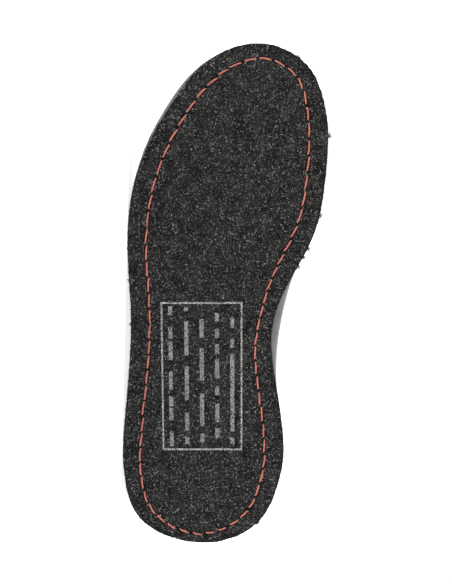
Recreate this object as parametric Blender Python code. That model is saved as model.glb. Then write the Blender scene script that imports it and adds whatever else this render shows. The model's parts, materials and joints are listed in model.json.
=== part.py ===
"""Right wading boot with a sewn felt sole, lying empty on its outer side. Metres, +Z up.

The boot is built standing: X runs from the back of the heel to the toe, Y to the inner side and Z up from
the ground. The last step turns it onto its outer side, sole towards -Y and toe towards -X.
"""

import math

import bmesh
import bpy
import numpy as np
from mathutils import Matrix, Vector

# Driving sizes
SOLE_LENGTH = 0.305
BALL_WIDTH = 0.1135
FELT_THICKNESS = 0.011
FELT_EDGE_ROUND = 0.0012
MIDSOLE_HEEL_THICKNESS = 0.022
MIDSOLE_BALL_THICKNESS = 0.011
MIDSOLE_RIM_HEIGHT = 0.006
MIDSOLE_RIM_INSET = 0.0024
MIDSOLE_FOOT_INSET = 0.0008
MIDSOLE_GROOVE_DEPTH = 0.0012
MIDSOLE_GROOVE_WIDTH = 0.0024
TOE_SPRING = 0.014
HEEL_ROLL = 0.0015
TOE_SWING = 0.0336
COLLAR_RISE = 0.140
UPPER_WALL = 0.0024
OVERLAY_THICKNESS = 0.0016
INSOLE_THICKNESS = 0.0045
INSOLE_CLEARANCE = 0.0008
TONGUE_THICKNESS = 0.006
TONGUE_OVERLAP = 0.010
TONGUE_TOP_HALF_WIDTH = 0.034
TONGUE_TOP_LEVEL = 1.13
TONGUE_LEAN = 0.010
EYESTAY_WIDTH = 0.017
EYELET_INSET = 0.0078
EYELET_HOLE_RADIUS = 0.0023
EYELET_RING_RADIUS = 0.0034
EYELET_RING_THICKNESS = 0.0020
HOOK_WIDTH = 0.0070
HOOK_PLATE_LENGTH = 0.0085
HOOK_REACH = 0.0078
HOOK_OPENING = 0.0046
HOOK_METAL = 0.0011
LACE_DIAMETER = 0.0036
LACE_SAG = 0.0050
LOOP_WIDTH = 0.016
LOOP_THICKNESS = 0.0016
LOOP_FINGER_GAP = 0.018
GAP = 0.0003

# Shape resolution
SOLE_COLUMNS = 76
UPPER_COLUMNS = 44
UPPER_ROWS = 15
COLLAR_COLUMNS = 29

# Outline of the sole, heel to toe: a row for each cross line. along is a share of SOLE_LENGTH, the other
# columns are shares of BALL_WIDTH: the felt's inner and outer edge from the heel's middle line, and how far
# the midsole stands past the felt on each side.
HEEL_END = (0.0, 0.0)
TOE_END = (1.0, 0.296)
STATIONS = (
    # along, inner, outer, midsole past inner, midsole past outer
    (0.020, 0.212, -0.231, 0.000, 0.000),
    (0.068, 0.344, -0.374, 0.000, 0.000),
    (0.138, 0.415, -0.421, 0.000, 0.000),
    (0.205, 0.429, -0.427, 0.000, 0.000),
    (0.300, 0.397, -0.408, 0.000, 0.000),
    (0.400, 0.366, -0.389, 0.038, 0.000),
    (0.478, 0.406, -0.390, 0.034, 0.000),
    (0.549, 0.500, -0.401, 0.000, 0.000),
    (0.627, 0.601, -0.403, 0.000, 0.000),
    (0.717, 0.650, -0.372, 0.000, 0.004),
    (0.801, 0.670, -0.298, 0.000, 0.008),
    (0.866, 0.656, -0.197, 0.000, 0.018),
    (0.934, 0.597, -0.070, 0.000, 0.014),
    (0.981, 0.466, 0.098, 0.000, 0.004),
)

# Sections of the upper, feather edge to tongue top: a row for each ring that runs round the foot. back and
# front are shares of SOLE_LENGTH, heel and ball scale the sole's half width there, oval is the ankle's half
# width as a share of BALL_WIDTH, roundness blends from the sole's outline (0) to that oval (1), and the rises
# are shares of COLLAR_RISE above the footbed at the back and the front.
SECTIONS = (
    # back, front, heel, ball, oval, roundness, rise at back, rise at front
    (0.030, 0.976, 0.830, 0.905, 0.37, 0.00, 0.000, 0.000),
    (0.012, 0.990, 0.885, 0.950, 0.37, 0.00, 0.086, 0.075),
    (0.006, 0.982, 0.890, 0.950, 0.37, 0.02, 0.180, 0.165),
    (0.008, 0.948, 0.870, 0.910, 0.37, 0.05, 0.280, 0.255),
    (0.016, 0.872, 0.840, 0.850, 0.37, 0.12, 0.385, 0.325),
    (0.028, 0.770, 0.800, 0.780, 0.37, 0.25, 0.490, 0.400),
    (0.040, 0.668, 0.770, 0.740, 0.36, 0.42, 0.595, 0.510),
    (0.047, 0.575, 0.750, 0.720, 0.35, 0.62, 0.700, 0.655),
    (0.047, 0.505, 0.740, 0.700, 0.345, 0.80, 0.800, 0.800),
    (0.041, 0.460, 0.740, 0.700, 0.355, 0.92, 0.895, 0.925),
    (0.031, 0.440, 0.740, 0.700, 0.365, 1.00, 0.980, 1.030),
    (0.024, 0.428, 0.740, 0.700, 0.370, 1.00, 1.070, 1.150),
)
RINGS_TO_COLLAR = 10

# Throat: a row for each level of the opening. level is 0 at the feather edge and 1 at the collar, half width
# is measured from the ridge of the instep, as a share of BALL_WIDTH.
THROAT = (
    # level, half width
    (0.565, 0.062),
    (0.580, 0.097),
    (0.610, 0.123),
    (0.700, 0.145),
    (0.850, 0.167),
    (1.080, 0.198),
)
EYELET_LEVELS = (0.615, 0.675, 0.735, 0.800)
HOOK_LEVELS = (0.872, 0.945)
COLLAR_SEAM_LEVEL = 0.868
COLLAR_START_FROM_RIDGE = 0.045
COLLAR_PADDING = 0.0134
COLLAR_INNER_FACE = -0.0100
COLLAR_CORE_SHARE = 0.64

# Section of the collar's padding: a row for each corner, from its seam over the outer face, the top and the
# inner face. rise is a level above the seam, depth is 0 on the inner face and 1 on the outer face.
COLLAR_PROFILE = (
    # rise, depth
    (0.004, 0.75),
    (0.022, 0.91),
    (0.070, 1.00),
    (0.112, 0.94),
    (0.139, 0.67),
    (0.141, 0.37),
    (0.122, 0.09),
    (0.070, 0.00),
    (0.022, 0.09),
    (0.004, 0.37),
)

# Cut lines of the overlays, in side view: along as a share of SOLE_LENGTH, height above the footbed as a
# share of COLLAR_RISE.
TOE_RAND_LINE = (
    # along, height
    (0.455, 0.060),
    (0.475, 0.105),
    (0.560, 0.135),
    (0.660, 0.160),
    (0.740, 0.205),
    (0.800, 0.290),
    (0.835, 0.420),
    (0.850, 0.600),
)
HEEL_COUNTER_LINE = (
    # along, height
    (0.330, 0.060),
    (0.318, 0.110),
    (0.270, 0.200),
    (0.200, 0.330),
    (0.120, 0.455),
    (0.050, 0.520),
    (-0.060, 0.540),
)

# Colour, roughness and metallic value of each material
FINISHES = {
    "felt": ((0.030, 0.030, 0.029), 0.95, 0.0),
    "foam": ((0.212, 0.212, 0.219), 0.70, 0.0),
    "nubuck": ((0.130, 0.130, 0.134), 0.80, 0.0),
    "rubber": ((0.028, 0.028, 0.030), 0.55, 0.0),
    "textile": ((0.040, 0.040, 0.042), 0.90, 0.0),
    "cord": ((0.060, 0.060, 0.062), 0.80, 0.0),
    "metal": ((0.230, 0.230, 0.235), 0.35, 1.0),
}
DENSITY = {
    "felt": 330.0,
    "foam": 260.0,
    "nubuck": 750.0,
    "rubber": 1150.0,
    "textile": 250.0,
    "cord": 700.0,
    "metal": 7800.0,
}


def mix(low, high, share):
    """Value between low and high."""
    return low + (high - low) * share


def ease(low, high, value):
    """0 below low, 1 above high, and a smooth rise between."""
    share = min(max((value - low) / (high - low), 0.0), 1.0)
    return share * share * (3.0 - 2.0 * share)


class SmoothCurve:
    """Cubic curve through rows of numbers, one row for each whole value of its parameter."""

    def __init__(self, rows, closed=False):
        self.rows = np.array(rows, float)
        self.closed = closed
        count = len(self.rows)
        pull = np.eye(count) * 4.0
        slope = 3.0 * (np.roll(self.rows, -1, 0) - np.roll(self.rows, 1, 0))
        for i in range(count):
            pull[i, (i + 1) % count] += 1.0
            pull[i, i - 1] += 1.0
        if not closed:
            for end, inward in ((0, 1), (count - 1, count - 2)):
                pull[end] = 0.0
                pull[end, end] = 2.0
                pull[end, inward] = 1.0
                slope[end] = 3.0 * abs(inward - end) * (self.rows[max(end, inward)] - self.rows[min(end, inward)])
        self.slopes = np.linalg.solve(pull, slope)

    def __call__(self, at):
        count = len(self.rows)
        if self.closed:
            first = math.floor(at) % count
            share = at - math.floor(at)
        else:
            first = min(max(math.floor(at), 0), count - 2)
            share = at - first
        second = (first + 1) % count
        rise = self.rows[second] - self.rows[first]
        bend = (share - 1.0) * (self.slopes[first] * (share - 1.0) + self.slopes[second] * share)
        bend -= (share - 1.0) * rise * (2.0 * share - 1.0)
        return self.rows[first] + share * (rise + bend)


def outline_rows(inner_past=0.0, outer_past=0.0):
    """Points round the sole's edge as shares: heel end, inner side, toe end, outer side."""
    inner = [(row[0], row[1] + row[3] * inner_past) for row in STATIONS]
    outer = [(row[0], row[2] - row[4] * outer_past) for row in reversed(STATIONS)]
    return [HEEL_END, *inner, TOE_END, *outer]


FELT_EDGE = SmoothCurve(outline_rows(), closed=True)
MIDSOLE_EDGE = SmoothCurve(outline_rows(1.0, 1.0), closed=True)
LAST_RINGS = SmoothCurve(SECTIONS)


def turn_table():
    """Pairs of (turn, curve parameter): turn goes 0 to 1 round the sole, slower where the edge bends."""
    stops = len(FELT_EDGE.rows)
    steps = np.linspace(0.0, stops, 20 * stops + 1)
    points = np.array([FELT_EDGE(t) for t in steps]) * (SOLE_LENGTH, BALL_WIDTH)
    legs = np.diff(points, axis=0)
    lengths = np.hypot(legs[:, 0], legs[:, 1])
    angles = np.unwrap(np.arctan2(legs[:, 1], legs[:, 0]))
    bends = np.abs(np.diff(angles, append=angles[-1]))
    weights = lengths / lengths.sum() + 0.6 * bends / bends.sum()
    half = len(weights) // 2
    sides = []
    for part in (weights[:half], weights[half:]):
        sides.append(np.cumsum(part) / part.sum() / 2.0)
    turns = np.concatenate([[0.0], sides[0], 0.5 + sides[1]])
    return turns, steps


TURNS, PARAMETERS = turn_table()


def edge_at(curve, turn):
    """Point (x, y) in metres of a sole edge, where turn runs 0 to 1 from the heel by the inner side."""
    along, across = curve(float(np.interp(turn % 1.0, TURNS, PARAMETERS)))
    return along * SOLE_LENGTH, across * BALL_WIDTH


def middle(x):
    """Y of the foot's middle line, which swings to the inner side in front of the arch."""
    ahead = max(x / SOLE_LENGTH - 0.35, 0.0) / 0.65
    return TOE_SWING * ahead**1.3


def spring(x):
    """Height of the sole's underside: flat from heel to ball, rising to the toe."""
    ahead = max(x / SOLE_LENGTH - 0.66, 0.0) / 0.34
    back = max(0.05 - x / SOLE_LENGTH, 0.0) / 0.05
    return TOE_SPRING * ahead**2 + HEEL_ROLL * back**2


def midsole_foot(x):
    """Height of the midsole's underside, just above the felt."""
    return spring(x) + FELT_THICKNESS + GAP


def footbed(x):
    """Height of the midsole's top, which the foot and the upper's feather edge stand on."""
    share = ease(0.22, 0.66, x / SOLE_LENGTH)
    return midsole_foot(x) + mix(MIDSOLE_HEEL_THICKNESS, MIDSOLE_BALL_THICKNESS, share)


def skin(turn, level):
    """Point on the upper's outer surface: level is 0 at the feather edge and 1 at the collar."""
    back, front, heel, ball, oval, roundness, back_rise, front_rise = LAST_RINGS(level * RINGS_TO_COLLAR)
    x, y = edge_at(FELT_EDGE, turn)
    side = y - middle(x)
    angle = 2.0 * math.pi * turn
    along = mix(x / SOLE_LENGTH, (1.0 - math.cos(angle)) / 2.0, roundness)
    scale = mix(heel, ball, ease(0.25, 0.70, along))
    x = mix(back, front, along) * SOLE_LENGTH
    y = middle(x) + mix(side * scale, math.sin(angle) * oval * BALL_WIDTH, roundness)
    rise = mix(back_rise, front_rise, along) * COLLAR_RISE
    return np.array((x, y, footbed(x) + rise))


def lifted(turn, level, lift):
    """Point at a distance outside the upper's outer surface, or inside it where lift is negative."""
    step = 0.004
    across = skin(turn + step, level) - skin(turn - step, level)
    up = skin(turn, level + step) - skin(turn, level - step)
    outward = np.cross(up, across)
    return skin(turn, level) + outward * (lift / np.linalg.norm(outward))


def turn_at(level, reach):
    """Turn of the point that lies reach metres from the instep's ridge, positive to the inner side."""
    fine = np.linspace(0.0, 0.30, 61)
    sign = -1.0 if reach > 0 else 1.0
    path = np.array([skin(0.5 + sign * t, level) for t in fine])
    lengths = np.concatenate([[0.0], np.cumsum(np.linalg.norm(np.diff(path, axis=0), axis=1))])
    return 0.5 + sign * float(np.interp(abs(reach), lengths, fine))


def throat_half_width(level):
    """Half the throat's width at a level."""
    share = np.interp(level, [row[0] for row in THROAT], [row[1] for row in THROAT])
    return float(share) * BALL_WIDTH


# Making objects

PARTS = bpy.data.collections.new("wading_boot")
CUTTERS = bpy.data.collections.new("wading_boot_cutters")


def clear_scene():
    """Removes what the file opened with, and links this boot's collections."""
    for old in list(bpy.data.objects):
        bpy.data.objects.remove(old)
    for collection in (PARTS, CUTTERS):
        bpy.context.scene.collection.children.link(collection)


def material(name):
    """The Principled material of that name."""
    found = bpy.data.materials.get(name)
    if found:
        return found
    colour, roughness, metallic = FINISHES[name]
    made = bpy.data.materials.new(name)
    made.use_nodes = True
    shader = made.node_tree.nodes["Principled BSDF"]
    shader.inputs["Base Color"].default_value = (*colour, 1.0)
    shader.inputs["Roughness"].default_value = roughness
    shader.inputs["Metallic"].default_value = metallic
    made.diffuse_color = (*colour, 1.0)
    return made


def new_object(name, points, faces, finish=None):
    """Mesh object from points and faces, with its faces turned outwards. No finish means a cutter.

    Its faces are split into flat triangles, so that what cuts them or is cut by them meets true planes.
    """
    mesh = bpy.data.meshes.new(name)
    mesh.from_pydata([tuple(p) for p in points], [], faces)
    shape = bmesh.new()
    shape.from_mesh(mesh)
    bmesh.ops.recalc_face_normals(shape, faces=shape.faces)
    bmesh.ops.triangulate(shape, faces=shape.faces)
    shape.to_mesh(mesh)
    shape.free()
    made = bpy.data.objects.new(name, mesh)
    if finish:
        mesh.materials.append(material(finish))
        PARTS.objects.link(made)
    else:
        CUTTERS.objects.link(made)
        made.hide_render = True
        made.display_type = "WIRE"
    return made


def cut(target, cutter, operation="DIFFERENCE"):
    """Cuts target with cutter."""
    modifier = target.modifiers.new(operation.lower() + "_" + cutter.name, "BOOLEAN")
    modifier.operation = operation
    modifier.object = cutter
    modifier.solver = "EXACT"


def ladder(columns, offset=0):
    """Faces that close a ring of points, heel at 0 and toe halfway, with a rung between each facing pair."""
    half = columns // 2
    faces = [(offset, offset + 1, offset + columns - 1)]
    for i in range(1, half - 1):
        faces.append((offset + i, offset + i + 1, offset + columns - i - 1, offset + columns - i))
    faces.append((offset + half - 1, offset + half, offset + half + 1))
    return faces


def stacked_rings(name, rings, finish):
    """Solid from closed rings of points, each joined to the next, and the first and last closed by ladders."""
    columns = len(rings[0])
    points = [p for ring in rings for p in ring]
    faces = ladder(columns) + ladder(columns, (len(rings) - 1) * columns)
    for r in range(len(rings) - 1):
        low, high = r * columns, (r + 1) * columns
        for i in range(columns):
            j = (i + 1) % columns
            faces.append((low + i, low + j, high + j, high + i))
    return new_object(name, points, faces, finish)


def slab(name, rows, near, far, finish=None, closed=False):
    """Solid between two lifts of the upper's surface. A row is (level, turns), or (level, turns, flare)."""
    sides = ([], [])
    for level, turns, *flare in rows:
        for points, lift in zip(sides, (near, far)):
            points.extend(lifted(turn, level, lift + sum(flare)) for turn in turns)
    columns = len(rows[0][1])
    count = len(sides[0])
    faces = []
    spans = columns if closed else columns - 1
    for r in range(len(rows) - 1):
        for i in range(spans):
            j = (i + 1) % columns
            quad = (r * columns + i, r * columns + j, (r + 1) * columns + j, (r + 1) * columns + i)
            faces.append(quad)
            faces.append(tuple(count + k for k in quad))
        if not closed:
            for i in (0, columns - 1):
                low, high = r * columns + i, (r + 1) * columns + i
                faces.append((low, high, count + high, count + low))
    for start in (0, (len(rows) - 1) * columns):
        for i in range(spans):
            j = (i + 1) % columns
            faces.append((start + i, start + j, count + start + j, count + start + i))
    return new_object(name, sides[0] + sides[1], faces, finish)


def side_prism(name, outline):
    """Cutter with an outline drawn in side view, running right through the boot."""
    half = BALL_WIDTH
    points = [(x, y, z) for y in (-half, half) for x, z in outline]
    count = len(outline)
    faces = [tuple(range(count)), tuple(range(count, 2 * count))]
    for i in range(count):
        j = (i + 1) % count
        faces.append((i, j, count + j, count + i))
    return new_object(name, points, faces)


def all_round(columns=UPPER_COLUMNS):
    """Turns of a closed ring."""
    return [i / columns for i in range(columns)]


# Sole

def build_outsole():
    """Felt slab with softened edges, flat from heel to ball."""
    edge = [edge_at(FELT_EDGE, turn) for turn in all_round(SOLE_COLUMNS)]
    inner = []
    for x, y in edge:
        pull = 1.0 - FELT_EDGE_ROUND / math.hypot(x - SOLE_LENGTH / 2, y - middle(x))
        inner.append((SOLE_LENGTH / 2 + (x - SOLE_LENGTH / 2) * pull, middle(x) + (y - middle(x)) * pull))
    levels = (
        (inner, 0.0),
        (edge, FELT_EDGE_ROUND),
        (edge, FELT_THICKNESS),
    )
    rings = [[(x, y, spring(x) + height) for x, y in ring] for ring, height in levels]
    return stacked_rings("outsole_felt", rings, "felt")


def build_midsole():
    """Foam wedge with a groove along its side, and a rim that cups the upper's feather edge."""
    turns = all_round(SOLE_COLUMNS)
    outline = [edge_at(MIDSOLE_EDGE, turn) for turn in turns]
    rim_level = 0.06
    rings = []
    for share, inset in (
        (0.00, MIDSOLE_FOOT_INSET),
        (0.10, 0.0),
        (0.46, 0.0),
        (0.46, MIDSOLE_GROOVE_DEPTH),
        (0.46, MIDSOLE_GROOVE_DEPTH),
        (0.46, 0.0),
        (0.86, MIDSOLE_RIM_INSET * 0.55),
        (1.00, MIDSOLE_RIM_INSET),
    ):
        ring = []
        lift = MIDSOLE_GROOVE_WIDTH if len(rings) in (4, 5) else 0.0
        for x, y in outline:
            reach = math.hypot(x - SOLE_LENGTH / 2, y - middle(x))
            pull = 1.0 - inset / reach
            px = SOLE_LENGTH / 2 + (x - SOLE_LENGTH / 2) * pull
            py = middle(x) + (y - middle(x)) * pull
            ring.append((px, py, mix(midsole_foot(px), footbed(px) + MIDSOLE_RIM_HEIGHT, share) + lift))
        rings.append(ring)
    rings.append([lifted(turn, rim_level, GAP * 1.5) for turn in turns])
    for point in rings[-1]:
        point[2] = footbed(point[0]) + MIDSOLE_RIM_HEIGHT
    rings.append([lifted(turn, 0.0, GAP * 1.5) for turn in turns])
    for point in rings[-1]:
        point[2] = footbed(point[0]) - GAP
    return stacked_rings("midsole", rings, "foam")


def build_insole():
    """Loose footbed inside the upper."""
    turns = all_round()
    inset = -(UPPER_WALL + INSOLE_CLEARANCE)
    rings = []
    for level, height in ((0.0, 0.0), (INSOLE_THICKNESS / COLLAR_RISE, INSOLE_THICKNESS)):
        ring = [lifted(turn, level, inset) for turn in turns]
        for point in ring:
            point[2] = footbed(point[0]) + height
        rings.append(ring)
    return stacked_rings("insole", rings, "textile")


# Upper

def wall_rows(top=1.0):
    """Levels and turns of the whole upper."""
    return [(top * r / UPPER_ROWS, all_round()) for r in range(UPPER_ROWS + 1)]


def throat_cutter(name, reach_through):
    """Cutter along the throat, which runs some way out of the wall on both sides."""
    rows = []
    for row in THROAT:
        level = THROAT[0][0] + (row[0] - THROAT[0][0]) * 1.08
        reach = throat_half_width(level)
        first, last = turn_at(level, reach), turn_at(level, -reach)
        rows.append((level, [mix(first, last, i / 4.0) for i in range(5)]))
    return slab(name, rows, -reach_through, reach_through)


def eyelet_spots():
    """(side name, number, level, turn) of each eyelet."""
    spots = []
    for side, sign in (("medial", 1.0), ("lateral", -1.0)):
        for number, level in enumerate(EYELET_LEVELS, 1):
            reach = throat_half_width(level) + EYELET_INSET
            spots.append((side, number, level, turn_at(level, sign * reach)))
    return spots


def hook_spots():
    """(side name, number, level, turn) of each hook."""
    spots = []
    for side, sign in (("medial", 1.0), ("lateral", -1.0)):
        for number, level in enumerate(HOOK_LEVELS, 1):
            reach = throat_half_width(level) + EYELET_INSET
            spots.append((side, number, level, turn_at(level, sign * reach)))
    return spots


def local_frame(turn, level, lift):
    """Matrix at a point of the upper's surface: X away from the throat, Z outwards."""
    here = Vector(lifted(turn, level, lift))
    outward = (Vector(lifted(turn, level, lift + 0.001)) - here).normalized()
    ridge = Vector(lifted(0.5, level, lift))
    aside = here - ridge
    aside = (aside - outward * aside.dot(outward)).normalized()
    upward = (Vector(lifted(0.5, level + 0.01, lift)) - ridge).normalized()
    aside = (aside - upward * aside.dot(upward)).normalized()
    aside = (aside - outward * aside.dot(outward)).normalized()
    placed = Matrix((aside, outward.cross(aside), outward)).transposed().to_4x4()
    placed.translation = here
    return placed


def eyelet_hole_cutter():
    """One cutter mesh with a round punch at each eyelet."""
    shape = bmesh.new()
    for _, _, level, turn in eyelet_spots():
        place = local_frame(turn, level, 0.0)
        bmesh.ops.create_cone(
            shape, cap_ends=True, segments=10, radius1=EYELET_HOLE_RADIUS, radius2=EYELET_HOLE_RADIUS,
            depth=6.0 * UPPER_WALL, matrix=place,
        )
    mesh = bpy.data.meshes.new("eyelet_holes")
    bmesh.ops.recalc_face_normals(shape, faces=shape.faces)
    shape.to_mesh(mesh)
    shape.free()
    made = bpy.data.objects.new("eyelet_holes", mesh)
    CUTTERS.objects.link(made)
    made.hide_render = True
    made.display_type = "WIRE"
    return made


def collar_turns(past, count):
    """Turns from one end of the padded collar round the heel to the other."""
    reach = COLLAR_START_FROM_RIDGE + past
    first = turn_at(COLLAR_SEAM_LEVEL, reach)
    last = turn_at(COLLAR_SEAM_LEVEL, -reach)
    span = first + (1.0 - last)
    return [(last + span * i / (count - 1)) % 1.0 for i in range(count)]


def build_upper(holes):
    """Hollow wall, open at the collar, the throat and underneath."""
    upper = slab("upper", wall_rows(), 0.0, -UPPER_WALL, "nubuck", closed=True)
    cut(upper, throat_cutter("throat_opening", 5.0 * UPPER_WALL))
    turns = collar_turns(-2.0 * GAP, COLLAR_COLUMNS)
    levels = [COLLAR_SEAM_LEVEL + rise for rise in (0.0, 0.070, 0.112, 0.175)]
    reach_through = 2.5 * UPPER_WALL
    cut(upper, slab("collar_step", [(level, turns) for level in levels], -reach_through, reach_through))
    cut(upper, holes)
    return upper


def overlay_shell(name):
    """Wall that lies over the whole upper, from which an overlay is cut."""
    return slab(name, wall_rows(), GAP, GAP + OVERLAY_THICKNESS, "rubber", closed=True)


def line_points(line, count=14):
    """Points (x, z) along a cut line drawn in side view."""
    curve = SmoothCurve(line)
    points = []
    for i in range(count):
        along, height = curve((len(line) - 1) * i / (count - 1))
        x = along * SOLE_LENGTH
        points.append((x, footbed(max(x, 0.0)) + height * COLLAR_RISE))
    return points


def rim_line(first, last, count=11):
    """Points (x, z) just above the midsole's rim."""
    clear = MIDSOLE_RIM_HEIGHT + GAP
    xs = [mix(first, last, i / (count - 1)) for i in range(count)]
    return [(x, footbed(x) + clear) for x in xs]


def build_toe_rand():
    """Rubber toe cap whose wings run back along both sides."""
    line = line_points(TOE_RAND_LINE)
    rim = rim_line(SOLE_LENGTH * 1.02, line[0][0])
    outline = [*line[1:], (SOLE_LENGTH * 1.02, line[-1][1]), *rim]
    rand = overlay_shell("toe_rand")
    cut(rand, side_prism("toe_rand_outline", outline), "INTERSECT")
    return rand


def build_heel_counter():
    """Moulded counter round the heel."""
    line = line_points(HEEL_COUNTER_LINE)
    rim = rim_line(-0.06 * SOLE_LENGTH, line[0][0])
    counter = overlay_shell("heel_counter")
    cut(counter, side_prism("heel_counter_outline", [*line[1:], *rim]), "INTERSECT")
    return counter


def build_eyestays(holes):
    """Facing on each side of the throat, which carries the eyelets and hooks."""
    levels = [mix(THROAT[0][0] - 0.012, 1.0 - 0.010, i / 8.0) for i in range(9)]
    for side, sign in (("medial", 1.0), ("lateral", -1.0)):
        rows = []
        for level in levels:
            near = throat_half_width(level) + 2.0 * GAP
            ends = (turn_at(level, sign * near), turn_at(level, sign * (near + EYESTAY_WIDTH)))
            rows.append((level, [mix(ends[0], ends[1], i / 3.0) for i in range(4)]))
        stay = overlay_shell("eyestay_" + side)
        reach_through = 4.0 * OVERLAY_THICKNESS
        cut(stay, slab("eyestay_outline_" + side, rows, -reach_through, reach_through), "INTERSECT")
        cut(stay, holes)


def collar_lift(depth):
    """Lift of a point of the collar from its depth: 0 on its inner face, 1 on its outer face."""
    return mix(COLLAR_INNER_FACE, COLLAR_INNER_FACE + COLLAR_PADDING, depth)


def build_collar():
    """Padded cuff round the ankle, from behind one facing to the other, thinner at both ends."""
    turns = collar_turns(0.0, COLLAR_COLUMNS)
    points = []
    for i, turn in enumerate(turns):
        fullness = ease(-1.5, 3.5, min(i, len(turns) - 1 - i))
        for rise, depth in COLLAR_PROFILE:
            lift = collar_lift(mix(COLLAR_CORE_SHARE, depth, fullness))
            points.append(lifted(turn, COLLAR_SEAM_LEVEL + rise, lift))
    size = len(COLLAR_PROFILE)
    faces = [tuple(range(size)), tuple(range((len(turns) - 1) * size, len(turns) * size))]
    for r in range(len(turns) - 1):
        for i in range(size):
            j = (i + 1) % size
            faces.append((r * size + i, r * size + j, (r + 1) * size + j, (r + 1) * size + i))
    return new_object("collar", points, faces, "textile")


def build_tongue():
    """Padded tongue behind the throat, whose rounded top stands above the collar and leans forward."""
    outer = -(UPPER_WALL + 2.0 * GAP)
    rows = []
    count = 17
    for i in range(count):
        share = 1.0 - (1.0 - i / (count - 1.0)) ** 1.45
        level = mix(THROAT[0][0] - 0.035, TONGUE_TOP_LEVEL, share)
        reach = mix(throat_half_width(level) + TONGUE_OVERLAP, TONGUE_TOP_HALF_WIDTH, ease(0.6, 1.0, share))
        corner = max(share - 0.87, 0.0) / 0.13
        reach *= math.sqrt(1.0 - 0.62 * corner**2)
        first, last = turn_at(level, reach), turn_at(level, -reach)
        flare = TONGUE_LEAN * ease(0.84, 1.08, share)
        rows.append((level, [mix(first, last, k / 8.0) for k in range(9)], flare))
    return slab("tongue", rows, outer, outer - TONGUE_THICKNESS, "textile")


# Fastening

def build_eyelets():
    """Ring at each hole."""
    lift = 2.5 * GAP + OVERLAY_THICKNESS + EYELET_RING_THICKNESS / 2.0
    for side, number, level, turn in eyelet_spots():
        place = local_frame(turn, level, lift)
        bpy.ops.mesh.primitive_torus_add(
            major_radius=EYELET_RING_RADIUS, minor_radius=EYELET_RING_THICKNESS / 2.0,
            major_segments=10, minor_segments=5,
        )
        ring = bpy.context.object
        ring.name = f"eyelet_{side}_{number}"
        ring.data.materials.append(material("metal"))
        ring.matrix_world = place
        for collection in list(ring.users_collection):
            collection.objects.unlink(ring)
        PARTS.objects.link(ring)


def hook_outline():
    """Outline of a hook seen along the lace: plate, neck beside the throat, and cap back over the plate."""
    half = HOOK_PLATE_LENGTH / 2.0
    radius = HOOK_OPENING / 2.0
    middle_height = HOOK_METAL + radius
    neck = [math.radians(-90.0 - 22.5 * i) for i in range(9)]
    outer = [(radius + HOOK_METAL) * Vector((math.cos(a), math.sin(a))) for a in neck]
    inner = [radius * Vector((math.cos(a), math.sin(a))) for a in reversed(neck)]
    place = Vector((-half + radius, middle_height))
    tip = HOOK_REACH - half
    outline = [Vector((half, 0.0)), *[p + place for p in outer]]
    outline += [Vector((tip, 2.0 * middle_height)), Vector((tip, 2.0 * middle_height - HOOK_METAL))]
    outline += [*[p + place for p in inner], Vector((half, HOOK_METAL))]
    return outline


def build_hooks():
    """Speed hooks: a plate on the facing whose neck curls back over it, open away from the throat."""
    curve = bpy.data.curves.new("hook", "CURVE")
    curve.dimensions = "2D"
    curve.fill_mode = "BOTH"
    curve.extrude = HOOK_WIDTH / 2.0
    outline = hook_outline()
    line = curve.splines.new("POLY")
    line.points.add(len(outline) - 1)
    line.use_cyclic_u = True
    for point, place in zip(line.points, outline):
        point.co = (*place, 0.0, 1.0)
    curve.materials.append(material("metal"))
    on_edge = Matrix.Rotation(math.radians(90.0), 4, "X")
    lift = 4.0 * GAP + OVERLAY_THICKNESS
    for side, number, level, turn in hook_spots():
        hook = bpy.data.objects.new(f"hook_{side}_{number}", curve)
        PARTS.objects.link(hook)
        hook.matrix_world = local_frame(turn, level, lift) @ on_edge


def tube_mesh(name, route, diameter):
    """Round cord along a route, as a closed mesh object."""
    curve = bpy.data.curves.new(name, "CURVE")
    curve.dimensions = "3D"
    curve.bevel_depth = diameter / 2.0
    curve.bevel_resolution = 1
    curve.use_fill_caps = True
    line = curve.splines.new("POLY")
    line.points.add(len(route) - 1)
    for point, place in zip(line.points, route):
        point.co = (*place, 1.0)
    guide = bpy.data.objects.new(name + "_route", curve)
    CUTTERS.objects.link(guide)
    bpy.context.view_layer.update()
    evaluated = guide.evaluated_get(bpy.context.evaluated_depsgraph_get())
    mesh = bpy.data.meshes.new_from_object(evaluated)
    shape = bmesh.new()
    shape.from_mesh(mesh)
    bmesh.ops.remove_doubles(shape, verts=shape.verts, dist=1e-6)
    shape.to_mesh(mesh)
    shape.free()
    bpy.data.objects.remove(guide)
    mesh.materials.clear()
    mesh.materials.append(material("cord"))
    return bpy.data.objects.new(name, mesh)


def lace_height():
    """Lift of the lace's middle where it lies on an eyelet."""
    return 3.5 * GAP + OVERLAY_THICKNESS + EYELET_RING_THICKNESS + LACE_DIAMETER / 2.0


def lace_route(first_side):
    """Points of one lace end, which crosses the tongue from eyelet to eyelet up to the top pair."""
    stops = []
    side = first_side
    for level in EYELET_LEVELS:
        stops.append((level, side * (throat_half_width(level) + EYELET_INSET)))
        side = -side
    route = []
    steps = 8
    for (level, reach), (next_level, next_reach) in zip(stops, stops[1:]):
        for i in range(steps):
            share = i / steps
            here = mix(level, next_level, share)
            lift = lace_height() - LACE_SAG * ease(0.08, 0.50, min(share, 1.0 - share))
            route.append(lifted(turn_at(here, mix(reach, next_reach, share)), here, lift))
    level, reach = stops[-1]
    route.append(lifted(turn_at(level, reach), level, lace_height()))
    return route


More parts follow.
